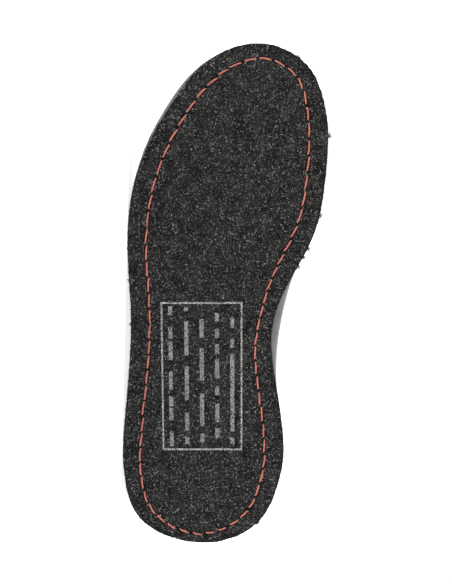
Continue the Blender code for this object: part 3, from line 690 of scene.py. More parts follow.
class NodeSheet:
    """Adds nodes to a tree and links them."""

    def __init__(self, tree: bpy.types.NodeTree) -> None:
        """Keeps the tree."""
        self.tree = tree

    def node(self, kind: str, settings: dict | None = None, inputs: dict | None = None) -> bpy.types.Node:
        """Adds a node.

        Args:
            kind: Blender's name of the node's type, without its first part.
            settings: Attributes to set on the node.
            inputs: Values or sockets for its inputs, by name or number.

        Returns:
            The node.
        """
        made = self.tree.nodes.new(kind if kind.startswith("NodeGroup") else "ShaderNode" + kind)
        for name, value in (settings or {}).items():
            setattr(made, name, value)
        for name, value in (inputs or {}).items():
            self.feed(made.inputs[name], value)
        return made

    def feed(self, socket: Socket, value: object) -> None:
        """Links a socket to another, or sets its value."""
        if isinstance(value, Socket):
            self.tree.links.new(value, socket)
        else:
            socket.default_value = value

    def calc(self, operation: str, *values: object, clamp: bool = False) -> Socket:
        """Result of a Math node."""
        made = self.node("Math", {"operation": operation, "use_clamp": clamp}, dict(enumerate(values)))
        return made.outputs[0]

    def vector(self, operation: str, *values: object) -> Socket:
        """Result of a Vector Math node."""
        return self.node("VectorMath", {"operation": operation}, dict(enumerate(values))).outputs[0]

    def rise(self, value: Socket, low: float, high: float) -> Socket:
        """0 where value is under low, 1 where it is over high, and a smooth rise between."""
        given = {"Value": value, "From Min": low, "From Max": high}
        return self.node("MapRange", {"interpolation_type": "SMOOTHSTEP"}, given).outputs[0]

    def near(self, value: Socket, centre: float, half: float) -> Socket:
        """1 where value is nearer to the centre than half, and 0 elsewhere."""
        return self.calc("LESS_THAN", self.calc("ABSOLUTE", self.calc("SUBTRACT", value, centre)), half)

    def between(self, share: Socket, low: Colour | Socket, high: Colour) -> Socket:
        """Colour between two colours."""
        return self.node("Mix", {"data_type": "RGBA"}, {0: share, 6: low, 7: high}).outputs[2]

    def noise(self, vector: Socket, scale: float, detail: float = 2.0, roughness: float = 0.5) -> Socket:
        """Factor of a Noise texture."""
        given = {"Vector": vector, "Scale": scale, "Detail": detail, "Roughness": roughness}
        return self.node("TexNoise", inputs=given).outputs["Fac"]

    def split(self, vector: Socket) -> Sequence[Socket]:
        """The x, y and z of a vector."""
        return self.node("SeparateXYZ", inputs={"Vector": vector}).outputs

    def bump(self, height: Socket, distance: float, strength: float) -> Socket:
        """Normal of a relief whose height is given from 0 to 1."""
        made = self.node("Bump", inputs={"Height": height, "Distance": distance, "Strength": strength})
        return made.outputs[0]


class MaterialSheet(NodeSheet):
    """Nodes of one material round its Principled shader."""

    def __init__(self, name: str) -> None:
        """Makes the material, and takes its places from the standing frame, in metres."""
        self.made = bpy.data.materials.new(name)
        self.made.use_nodes = True
        super().__init__(self.made.node_tree)
        self.place = self.node("TexCoord", {"object": bpy.data.objects[FRAME_MARK]}).outputs["Object"]

    def finish(self, inputs: dict) -> Material:
        """Feeds the shader's inputs by name and gives the material."""
        for title, value in inputs.items():
            self.feed(self.tree.nodes["Principled BSDF"].inputs[title], value)
        return self.made


class SurfaceGroup:
    """A shader node group that several materials use, built once."""

    def __init__(self, name: str, inputs: dict[str, float], outputs: Sequence[str]) -> None:
        """Makes the group, with a vector as its first input.

        Args:
            name: The group's name.
            inputs: Values of its other inputs, by name.
            outputs: Names of its outputs.
        """
        self.tree = bpy.data.node_groups.new(name, "ShaderNodeTree")
        new_socket = self.tree.interface.new_socket
        new_socket("Vector", in_out="INPUT", socket_type="NodeSocketVector")
        for title, value in inputs.items():
            new_socket(title, in_out="INPUT", socket_type="NodeSocketFloat").default_value = value
        for title in outputs:
            new_socket(title, in_out="OUTPUT", socket_type="NodeSocketFloat")
        self.sheet = NodeSheet(self.tree)
        self.entry = self.sheet.node("NodeGroupInput").outputs
        self.exit = self.sheet.node("NodeGroupOutput").inputs

    def give(self, title: str, value: Socket) -> None:
        """Links a socket to one of the group's outputs."""
        self.sheet.feed(self.exit[title], value)

    def use(self, sheet: MaterialSheet, **values: float) -> Sequence[Socket]:
        """Places the group in a material with its own values, and gives its outputs."""
        return sheet.node("Group", {"node_tree": self.tree}, {"Vector": sheet.place, **values}).outputs


class FibreGroup(SurfaceGroup):
    """Short fibres that lie in every direction: a mask of the pale ones and a height."""

    # offset that keeps a layer apart, fineness across its fibres per metre
    LAYERS = ((0.0, 1500.0), (17.3, 2000.0), (41.9, 2600.0))

    def __init__(self) -> None:
        """Builds the group."""
        super().__init__("felted_fibres", {"Fineness": 1.0}, ("Pale", "Height"))
        calc, rise = self.sheet.calc, self.sheet.rise
        height, *others = (self.strands(shift, scale) for shift, scale in self.LAYERS)
        pale = rise(height, 0.62, 0.74)
        for fibre in others:
            pale = calc("MAXIMUM", pale, rise(fibre, 0.62, 0.74))
            height = calc("MAXIMUM", height, fibre)
        self.give("Pale", pale)
        self.give("Height", height)

    def strands(self, shift: float, scale: float) -> Socket:
        """Noise drawn out along a direction that changes from one small patch to the next.

        Args:
            shift: Offset of the layer.
            scale: Fineness across the fibres, per metre.

        Returns:
            The noise.
        """
        sheet = self.sheet
        centre = (shift, shift * 0.7, shift * 0.3)
        moved = sheet.vector("ADD", self.entry["Vector"], centre)
        given = {"Vector": moved, "Scale": scale * 0.42}
        patches = sheet.node("TexVoronoi", {"voronoi_dimensions": "3D"}, given).outputs["Color"]
        tone = sheet.node("SeparateColor", inputs={"Color": patches}).outputs[0]
        angle = sheet.calc("MULTIPLY", tone, 6.283)
        given = {"Vector": moved, "Center": centre, "Axis": (0.2, 0.3, 1.0), "Angle": angle}
        turned = sheet.node("VectorRotate", {"rotation_type": "AXIS_ANGLE"}, given).outputs[0]
        drawn = sheet.vector("MULTIPLY", turned, (1.0, 0.30, 1.0))
        return sheet.noise(drawn, sheet.calc("MULTIPLY", self.entry["Fineness"], scale), 1.5, 0.6)


class GrainGroup(SurfaceGroup):
    """Fine grain with soft cloudy changes of tone."""

    def __init__(self) -> None:
        """Builds the group."""
        super().__init__("fine_grain", {"Grain": 1800.0, "Cloud": 45.0}, ("Height", "Cloudiness", "Speck"))
        sheet, place = self.sheet, self.entry["Vector"]
        grain = sheet.noise(place, self.entry["Grain"], 3.0, 0.65)
        given = {"Vector": place, "Scale": self.entry["Grain"]}
        cells = sheet.node("TexVoronoi", {"feature": "F1"}, given).outputs["Distance"]
        coarse, fine = sheet.calc("MULTIPLY", grain, 0.6), sheet.calc("MULTIPLY", cells, 0.4)
        self.give("Height", sheet.calc("ADD", coarse, fine))
        self.give("Cloudiness", sheet.noise(place, self.entry["Cloud"], 4.0, 0.55))
        self.give("Speck", sheet.rise(grain, 0.60, 0.72))


class WeaveGroup(SurfaceGroup):
    """Over and under of yarns in three directions, so that it follows any surface."""

    def __init__(self) -> None:
        """Builds the group."""
        super().__init__("yarn_weave", {"Yarns": 900.0}, ("Height",))
        calc = self.sheet.calc
        turns = calc("MULTIPLY", self.entry["Yarns"], math.pi)
        parts = self.sheet.split(self.entry["Vector"])
        x, y, z = (calc("SINE", calc("MULTIPLY", part, turns)) for part in parts)
        pairs = [calc("MULTIPLY", first, second) for first, second in ((x, z), (y, z), (x, y))]
        total = calc("ADD", calc("ADD", pairs[0], pairs[1]), pairs[2])
        self.give("Height", calc("MULTIPLY_ADD", total, 0.35, 0.5, clamp=True))


class Effects:
    """The shader groups that the finishes share."""

    def __init__(self) -> None:
        """Builds each group once."""
        self.fibres = FibreGroup()
        self.grain = GrainGroup()
        self.weave = WeaveGroup()


@dataclass(frozen=True)
class PrintedNotice:
    """The printed frame under the heel with five rows of plain dashes, in the standing frame."""

    corner: tuple[float, float] = at_photo(161.4, 449.3)
    far_corner: tuple[float, float] = at_photo(241.5, 303.0)
    line: float = 0.0010
    slant: float = 0.0013
    wander: float = 0.0011
    dash_strength: float = 0.62
    dash_height: float = 0.0025
    # photograph column, last row and first row of each line of dashes
    dash_rows: Table = (
        (170.0, 446.0, 306.5), (186.0, 444.0, 306.5), (201.4, 444.0, 308.0), (216.8, 445.0, 307.0),
        (232.2, 444.0, 318.5),
    )

    def mask(self, sheet: MaterialSheet) -> Socket:
        """1 on the ink and 0 beside it, with weaker dashes."""
        calc = sheet.calc
        wander = calc("MULTIPLY", calc("SUBTRACT", sheet.noise(sheet.place, 1500.0), 0.5), self.wander)
        along, across, _ = sheet.split(sheet.place)
        sizes = [high - low for low, high in zip(self.corner, self.far_corner)]
        down = calc("MULTIPLY", calc("SUBTRACT", self.far_corner[0], along), 1.0 / sizes[0])
        left = calc("MULTIPLY", calc("SUBTRACT", self.far_corner[1], across), 1.0 / sizes[1])
        slanted = calc("MULTIPLY", calc("MULTIPLY", down, left), self.slant)
        x = calc("ADD", along, wander)
        y = calc("SUBTRACT", calc("ADD", across, wander), slanted)
        off = [
            calc("SUBTRACT", calc("ABSOLUTE", calc("SUBTRACT", value, low + size / 2.0)), size / 2.0)
            for value, low, size in zip((x, y), self.corner, sizes)
        ]
        mask = calc("LESS_THAN", calc("ABSOLUTE", calc("MAXIMUM", *off)), self.line / 2.0)
        for i, (column, first, final) in enumerate(self.dash_rows):
            start, middle = at_photo(column, first)
            end = at_photo(column, final)[0]
            given = {"W": calc("ADD", x, 0.37 * (i + 1)), "Scale": 110.0, "Detail": 0.0}
            breaks = sheet.node("TexNoise", {"noise_dimensions": "1D"}, given).outputs["Fac"]
            band = sheet.near(y, middle, self.dash_height / 2.0)
            dash = calc("MULTIPLY", band, calc("GREATER_THAN", breaks, 0.43))
            dash = calc("MULTIPLY", dash, sheet.near(x, (start + end) / 2.0, (end - start) / 2.0))
            mask = calc("MAXIMUM", mask, calc("MULTIPLY", dash, self.dash_strength))
        return mask


@dataclass(frozen=True)
class FeltFinish:
    """Charcoal wool felt with pale fibres and a worn print."""

    name: str = "charcoal_felt"
    # share of the colours that is kept: below 1 for painted shade
    shadow: float = 1.0
    dark: Colour = (0.0026, 0.0026, 0.0025, 1.0)
    mid: Colour = (0.0105, 0.0104, 0.0100, 1.0)
    pale: Colour = grey(0.150, 0.147)
    ink: Colour = grey(0.47, 0.46)
    notice: PrintedNotice = PrintedNotice()

    def material(self, effects: Effects) -> Material:
        """Makes the felt's material."""
        sheet = MaterialSheet(self.name)
        calc, rise, noise, place = sheet.calc, sheet.rise, sheet.noise, sheet.place
        fibres = effects.fibres.use(sheet, Fineness=1.0)
        cloud, fine = noise(place, 130.0, 4.0, 0.6), noise(place, 2600.0, 1.0)
        colours = (self.dark, self.mid, self.pale)
        dark, mid, pale = ([part * self.shadow for part in colour[:3]] + [1.0] for colour in colours)
        patch = calc("MULTIPLY_ADD", rise(cloud, 0.35, 0.65), 0.45, 0.55)
        strength = calc("MULTIPLY", fibres["Pale"], rise(fine, 0.30, 0.58))
        body = sheet.between(rise(cloud, 0.30, 0.70), dark, mid)
        colour = sheet.between(calc("MULTIPLY", strength, patch), body, pale)
        worn = rise(calc("MULTIPLY_ADD", fine, 0.5, fibres["Height"]), 0.68, 0.94)
        kept = calc("MULTIPLY", calc("SUBTRACT", 1.0, worn), rise(noise(place, 620.0), 0.33, 0.44))
        ink = calc("MULTIPLY", self.notice.mask(sheet), kept)
        return sheet.finish({
            "Base Color": sheet.between(ink, colour, self.ink),
            "Normal": sheet.bump(fibres["Height"], 0.0005, 0.8),
            "Roughness": 0.95,
            "Specular IOR Level": 0.05,
        })


@dataclass(frozen=True)
class StrandFinish:
    """Single wool fibres, each a shade of grey by its place."""

    name: str = "tread_strand"
    dark: Colour = grey(0.018, 0.017)
    pale: Colour = grey(0.38, 0.375)

    def material(self) -> Material:
        """Makes the fibres' material."""
        sheet = MaterialSheet(self.name)
        tone = sheet.rise(sheet.noise(sheet.place, 700.0, 0.0), 0.40, 0.66)
        colour = sheet.between(tone, self.dark, self.pale)
        return sheet.finish({"Base Color": colour, "Roughness": 0.9, "Specular IOR Level": 0.08})


@dataclass(frozen=True)
class ThreadFinish:
    """Twisted sewing thread."""

    name: str
    colour: Colour
    shade: Colour

    def material(self) -> Material:
        """Makes the thread's material."""
        sheet = MaterialSheet(self.name)
        hairs = sheet.noise(sheet.place, 1500.0, 2.0, 0.7)
        return sheet.finish({
            "Base Color": sheet.between(sheet.rise(hairs, 0.32, 0.62), self.shade, self.colour),
            "Normal": sheet.bump(hairs, 0.0002, 0.6),
            "Roughness": 0.6,
        })


@dataclass(frozen=True)
class FoamFinish:
    """Moulded foam with a pebbled skin."""

    colour: Colour = grey(0.150, 0.157)
    shade: Colour = grey(0.105, 0.111)

    def material(self, effects: Effects) -> Material:
        """Makes the foam's material."""
        sheet = MaterialSheet("grey_foam")
        grain = effects.grain.use(sheet, Grain=1300.0, Cloud=60.0)
        return sheet.finish({
            "Base Color": sheet.between(sheet.rise(grain["Cloudiness"], 0.30, 0.72), self.shade, self.colour),
            "Normal": sheet.bump(grain["Height"], 0.00025, 0.5),
            "Roughness": sheet.calc("MULTIPLY_ADD", grain["Cloudiness"], 0.15, 0.50),
            "Sheen Weight": 0.5,
            "Sheen Roughness": 0.35,
        })


@dataclass(frozen=True)
class NubuckFinish:
    """Brushed charcoal microfibre with a short nap and soft clouds."""

    colour: Colour = grey(0.112, 0.116)
    shade: Colour = grey(0.074, 0.077)
    rubbed: Colour = grey(0.165, 0.170)

    def material(self, effects: Effects) -> Material:
        """Makes the nubuck's material."""
        sheet = MaterialSheet("charcoal_nubuck")
        grain = effects.grain.use(sheet, Grain=2100.0, Cloud=36.0)
        brushed = sheet.noise(sheet.vector("MULTIPLY", sheet.place, (1.0, 1.0, 0.45)), 760.0, 3.0, 0.6)
        tone = sheet.rise(sheet.calc("MULTIPLY_ADD", brushed, 0.40, grain["Cloudiness"]), 0.45, 0.95)
        speck = sheet.calc("MULTIPLY", grain["Speck"], 0.5)
        height = sheet.calc("MULTIPLY_ADD", brushed, 0.4, grain["Height"])
        return sheet.finish({
            "Base Color": sheet.between(speck, sheet.between(tone, self.shade, self.colour), self.rubbed),
            "Normal": sheet.bump(height, 0.00030, 0.55),
            "Roughness": sheet.calc("MULTIPLY_ADD", brushed, -0.18, 0.94),
            "Specular IOR Level": 0.25,
            "Sheen Weight": 0.22,
            "Sheen Roughness": 0.45,
        })


@dataclass(frozen=True)
class RubberFinish:
    """Moulded dark rubber with a fine grain and a little dust."""

    colour: Colour = grey(0.017, 0.018)
    dusty: Colour = (0.046, 0.045, 0.044, 1.0)

    def material(self, effects: Effects) -> Material:
        """Makes the rubber's material."""
        sheet = MaterialSheet("dark_rubber")
        grain = effects.grain.use(sheet, Grain=1500.0, Cloud=55.0)
        dust = sheet.calc("MULTIPLY", sheet.rise(grain["Cloudiness"], 0.48, 0.80), 0.55)
        return sheet.finish({
            "Base Color": sheet.between(dust, self.colour, self.dusty),
            "Normal": sheet.bump(grain["Height"], 0.00018, 0.5),
            "Roughness": sheet.calc("MULTIPLY_ADD", dust, 0.5, 0.42),
            "Specular IOR Level": 0.36,
        })


@dataclass(frozen=True)
class FacingFinish:
    """Coated textile with a fine crosswise rib."""

    colour: Colour = grey(0.046, 0.048)
    shade: Colour = grey(0.028, 0.029)

    def material(self, effects: Effects) -> Material:
        """Makes the facings' material."""
        sheet = MaterialSheet("coated_facing")
        weave = effects.weave.use(sheet, Yarns=1250.0)["Height"]
        cloud = sheet.noise(sheet.place, 70.0, 3.0)
        tone = sheet.calc("MULTIPLY_ADD", weave, 0.5, sheet.calc("MULTIPLY", cloud, 0.6))
        return sheet.finish({
            "Base Color": sheet.between(sheet.rise(tone, 0.3, 0.8), self.shade, self.colour),
            "Normal": sheet.bump(weave, 0.00015, 0.6),
            "Roughness": sheet.calc("MULTIPLY_ADD", cloud, 0.2, 0.48),
        })


@dataclass(frozen=True)
class WovenFinish:
    """Cloth whose yarns show as relief and shade."""

    name: str
    colour: Colour
    shade: Colour
    yarns: float

    def material(self, effects: Effects) -> Material:
        """Makes the cloth's material."""
        sheet = MaterialSheet(self.name)
        weave = effects.weave.use(sheet, Yarns=self.yarns)["Height"]
        slubs = sheet.noise(sheet.place, 260.0, 3.0, 0.6)
        tone = sheet.calc("MULTIPLY", sheet.rise(weave, 0.15, 0.75), sheet.rise(slubs, 0.25, 0.65))
        return sheet.finish({
            "Base Color": sheet.between(tone, self.shade, self.colour),
            "Normal": sheet.bump(sheet.calc("MULTIPLY_ADD", slubs, 0.25, weave), 0.00028, 0.7),
            "Roughness": 0.88,
            "Specular IOR Level": 0.2,
            "Sheen Weight": 0.12,
        })


@dataclass(frozen=True)
class BraidFinish:
    """Braided cord of dark and grey strands."""

    colour: Colour = grey(0.075, 0.078)
    shade: Colour = grey(0.022, 0.023)

    def material(self, effects: Effects) -> Material:
        """Makes the cord's material."""
        sheet = MaterialSheet("braided_cord")
        strands = effects.weave.use(sheet, Yarns=1500.0)["Height"]
        hairs = sheet.noise(sheet.place, 3200.0, 2.0, 0.7)
        tone = sheet.calc("MULTIPLY_ADD", hairs, 0.35, sheet.calc("MULTIPLY", strands, 0.7))
        return sheet.finish({
            "Base Color": sheet.between(sheet.rise(tone, 0.30, 0.72), self.shade, self.colour),
            "Normal": sheet.bump(tone, 0.0002, 0.7),
            "Roughness": 0.72,
        })


@dataclass(frozen=True)
class MetalFinish:
    """Dark plated metal, or a hard tip, with fine wear."""

    name: str
    colour: Colour = grey(0.11, 0.113)
    worn: Colour = grey(0.24)
    metallic: float = 1.0
    roughness: float = 0.30

    def material(self, effects: Effects) -> Material:
        """Makes the metal's material."""
        sheet = MaterialSheet(self.name)
        grain = effects.grain.use(sheet, Grain=2600.0, Cloud=240.0)
        wear = sheet.rise(grain["Cloudiness"], 0.50, 0.74)
        return sheet.finish({
            "Base Color": sheet.between(wear, self.colour, self.worn),
            "Normal": sheet.bump(grain["Height"], 0.00004, 0.4),
            "Roughness": sheet.calc("MULTIPLY_ADD", wear, 0.16, self.roughness),
            "Metallic": self.metallic,
        })


# Sole


class Seam:
    """The sewn line on the tread and the places where its dashes begin."""

    def __init__(self, outsole: "FeltOutsole") -> None:
        """Walks the line and spaces the dashes along it."""
        turns = np.linspace(0.0, 1.0, 4001)
        edge = outsole.last.felt
        inset = edge.inward(turns) * outsole.seam_inset(turns)[:, None]
        self.path = outsole.under(edge.at(turns) + inset, 0.0)
        self.arc = arc_lengths(self.path)
        self.length = self.arc[-1]
        pitches = from_table(turns, outsole.stitch_pitches)
        counted = np.append(0.0, np.cumsum(np.diff(self.arc) / pitches[:-1]))
        counted *= outsole.stitch_count / counted[-1]
        self.stops = np.interp(np.arange(outsole.stitch_count + 1), counted, self.arc)
        self.gaps = from_table(np.interp(self.stops, self.arc, turns), outsole.stitch_gaps) * MILLIMETRE

    def at(self, wanted: Array) -> Array:
        """Points at distances along the seam."""
        return rows_at(np.mod(wanted, self.length), self.arc, self.path)


@dataclass
class FeltOutsole:
    """Felt slab with a sewn channel, its loose fibres and its thread."""

    last: Last
    effects: Effects
    columns: int = 1100
    edge_round: float = 0.0010
    edge_waver: float = 0.00028
    groove_depth: float = 0.0007
    groove_half_width: float = 0.0016
    rung_cells: int = 36
    # turn, inset in millimetres
    stitch_insets: Table = (
        (0.0, 5.0), (0.024, 6.4), (0.04, 7.5), (0.058, 8.6), (0.081, 9.1), (0.112, 10.6), (0.145, 11.6),
        (0.175, 11.0), (0.201, 10.3), (0.212, 9.0), (0.235, 8.1), (0.255, 9.6), (0.271, 10.7), (0.294, 11.0),
        (0.323, 10.6), (0.356, 11.2), (0.383, 10.6), (0.398, 10.3), (0.421, 9.3), (0.444, 8.5), (0.487, 8.9),
        (0.516, 9.9), (0.551, 11.0), (0.57, 12.0), (0.59, 11.95), (0.614, 11.5), (0.642, 12.4), (0.674, 12.1),
        (0.714, 11.1), (0.75, 11.4), (0.79, 11.4), (0.837, 10.7), (0.861, 9.8), (0.918, 9.4), (0.943, 7.9),
        (0.96, 6.4), (0.977, 5.0), (1.0, 5.0),
    )
    # turn, millimetres from one dash of the thread to the next
    stitch_pitches: Table = (
        (0.0, 7.8), (0.08, 8.4), (0.13, 9.4), (0.17, 9.7), (0.21, 8.7), (0.26, 8.2), (0.3, 10.4),
        (0.34, 10.7), (0.39, 10.0), (0.44, 8.8), (0.5, 9.6), (0.56, 9.0), (0.61, 10.4), (0.66, 11.2),
        (0.7, 10.3), (0.75, 9.7), (0.79, 9.0), (0.82, 9.8), (0.87, 8.4), (0.92, 8.5), (0.97, 7.9), (1.0, 7.8),
    )
    # turn, millimetres of felt between two dashes
    stitch_gaps: Table = (
        (0.0, 3.4), (0.04, 3.0), (0.08, 2.0), (0.2, 1.9), (0.35, 2.1), (0.45, 2.4), (0.55, 2.5), (0.66, 2.2),
        (0.72, 1.7), (0.85, 1.6), (0.93, 2.1), (0.97, 2.8), (1.0, 3.4),
    )
    stitch_count: int = 72
    stitch_bow: float = 0.00028
    thread_radius: float = 0.00050
    # length of thread in which its plies turn round once
    ply_turn: float = 0.0036

    def __post_init__(self) -> None:
        """Smooths the seam's distance from the edge."""
        self.fine_turns = np.linspace(0.0, 1.0, 401)
        wrapped = from_table(self.fine_turns, self.stitch_insets) * MILLIMETRE
        reach = 13
        kernel = np.hanning(reach)
        padded = np.concatenate([wrapped[-reach:-1], wrapped, wrapped[1:reach]])
        smooth = np.convolve(padded, kernel / kernel.sum(), mode="same")
        self.fine_insets = smooth[reach - 1:1 - reach]

    def seam_inset(self, turn: Array) -> Array:
        """Distance from the felt's edge to the seam, in metres."""
        return np.interp(np.mod(turn, 1.0), self.fine_turns, self.fine_insets)

    def under(self, flat: Array, depth: Array) -> Array:
        """Points (x, y, z) on the tread, at places (x, y) and depths in the felt."""
        height = self.last.spring(flat[..., 0]) + depth
        return np.concatenate([flat, height[..., None]], axis=-1)

    def slab(self) -> Mesh:
        """Makes the felt itself, from the seat of the midsole round the edge to the middle of the tread."""
        last = self.last
        turns = np.arange(self.columns) / self.columns
        edge, inward, worn = last.felt.at(turns), last.felt.inward(turns), last.wear(turns)
        seam = self.seam_inset(turns)
        top = last.felt_thickness
        side = [(0.0060, top), (0.0020, top), (0.0003, top)]
        side += [(0.0, depth) for depth in np.linspace(top - 0.0004, self.edge_round, 13)]
        for i in range(1, 5):
            angle = QUARTER_TURN * i / 4.0
            across, down = 1.0 - math.cos(angle), 1.0 - math.sin(angle)
            side.append((self.edge_round * across, self.edge_round * down))
        rings = []
        for i, (inset, depth) in enumerate(side):
            ring = self.under(edge + inward * inset, depth)
            waver = ripple(ring, 0.0016, 21) + 0.7 * ripple(ring, 0.006, 22)
            ring[:, :2] -= inward * ((waver * self.edge_waver + worn) * min(i / 3.0, 1.0))[:, None]
            rings.append(ring)
        rings += [self.under(edge + inward * (seam * share)[:, None], 0.0) for share in (0.35, 0.7)]
        channel = len(rings)
        for offset in (-2.2, -1.5, -1.0, -0.6, -0.25, 0.25, 0.6, 1.0, 1.5, 2.2, 3.4):
            distance = offset / 1000.0
            hollow = self.groove_depth * (1.0 - ease(0.2, 1.0, abs(distance) / self.groove_half_width))
            rings.append(self.under(edge + inward * (seam + distance)[:, None], hollow))
        maker = MeshMaker()
        faces = grid_faces(len(rings), self.columns, closed=True)
        row = faces[:, 0] // self.columns
        sunk = (row >= channel + 2) & (row < channel + 7)
        maker.add(np.stack(rings), faces[~sunk])
        maker.join(faces[sunk], 1)
        maker.rungs(rings[-1], (len(rings) - 1) * self.columns, self.rung_cells, last.spring)
        maker.rungs(rings[0], 0)
        # painted shade: the sunk rows of the sewn channel take a felt darkened to half
        finishes = [FeltFinish(), FeltFinish("channel_felt", shadow=0.5)]
        return maker.mesh("outsole_felt_slab", [finish.material(self.effects) for finish in finishes], 80.0)

    def stitches(self, seam: Seam) -> Mesh:
        """Makes the thread: one dash after another, each diving into its holes."""
        random = np.random.default_rng(STITCH_SEED)
        maker = MeshMaker()
        rows = 19
        share = np.linspace(0.0, 1.0, rows)
        arch = np.sin(math.pi * share) ** 0.42
        LOG.info("seam: %.1f mm in %d dashes", seam.length / MILLIMETRE, self.stitch_count)
        for begin, end, gap in zip(seam.stops[:-1], seam.stops[1:], seam.gaps):
            reach = (end - begin - gap) * random.normal(1.0, 0.025)
            first = begin + gap / 2.0 + random.normal(0.0, 0.00012)
            spine = seam.at(first + reach * (1.0 - np.cos(math.pi * share)) / 2.0)
            along = unit(spine[-1] - spine[0])
            aside = np.array((-along[1], along[0], 0.0))
            lean = mix(-1.0, 1.0, share) * random.normal(0.00030, 0.00016) + (arch - 0.8) * self.stitch_bow
            spine += aside * (lean + random.normal(0.0, 0.00010))[:, None]
            spine[:, 2] += 0.0014 - 0.0015 * arch
            radius = self.thread_radius * (0.72 + 0.28 * arch) * random.normal(1.0, 0.05)
            maker.tube(spine, radius, 12, twist=reach / self.ply_turn, plies=3, relief=0.20)
        finish = ThreadFinish("coral_thread", (0.44, 0.122, 0.080, 1.0), (0.13, 0.034, 0.024, 1.0))
        return maker.mesh("sole_stitching", [finish.material()])

    def holes(self, seam: Seam) -> Mesh:
        """Makes the needle holes between the dashes, as shallow cups in the seam's channel, dark with painted
        shade.
        """
        half_length, half_width, sides = 0.00100, 0.00066, 14
        angle = circle(sides)[:, None]
        maker = MeshMaker()
        for stop in seam.stops[:-1]:
            centre, ahead = seam.at(np.array((stop, stop + 0.0005)))
            along = unit(ahead - centre)
            aside = np.array((-along[1], along[0], 0.0))
            rim = along * np.cos(angle) * half_length + aside * np.sin(angle) * half_width
            rings = [
                centre + size * rim + (0.0, 0.0, depth)
                for size, depth in ((1.0, 0.00042), (0.8, 0.00050), (0.35, 0.00062))
            ]
            maker.rings(np.array(rings))
            maker.join(maker.count - sides + np.arange(sides)[None, :])
        # painted shade: the holes take a felt darkened to 0.35
        return maker.mesh("seam_holes", [FeltFinish("sooty_felt", shadow=0.35).material(self.effects)])

    def dress(self, workshop: Workshop) -> None:
        """Makes the outsole's pieces."""
        seam, fibres = Seam(self), FeltFibres(self)
        workshop.piece(self.slab(), Finish.FELT, ["outsole_felt"])
        workshop.piece(self.stitches(seam), Finish.CORD)
        workshop.piece(self.holes(seam), Finish.FELT)
        workshop.piece(fibres.tread(), Finish.FELT)
        workshop.piece(fibres.fringe(), Finish.FELT)


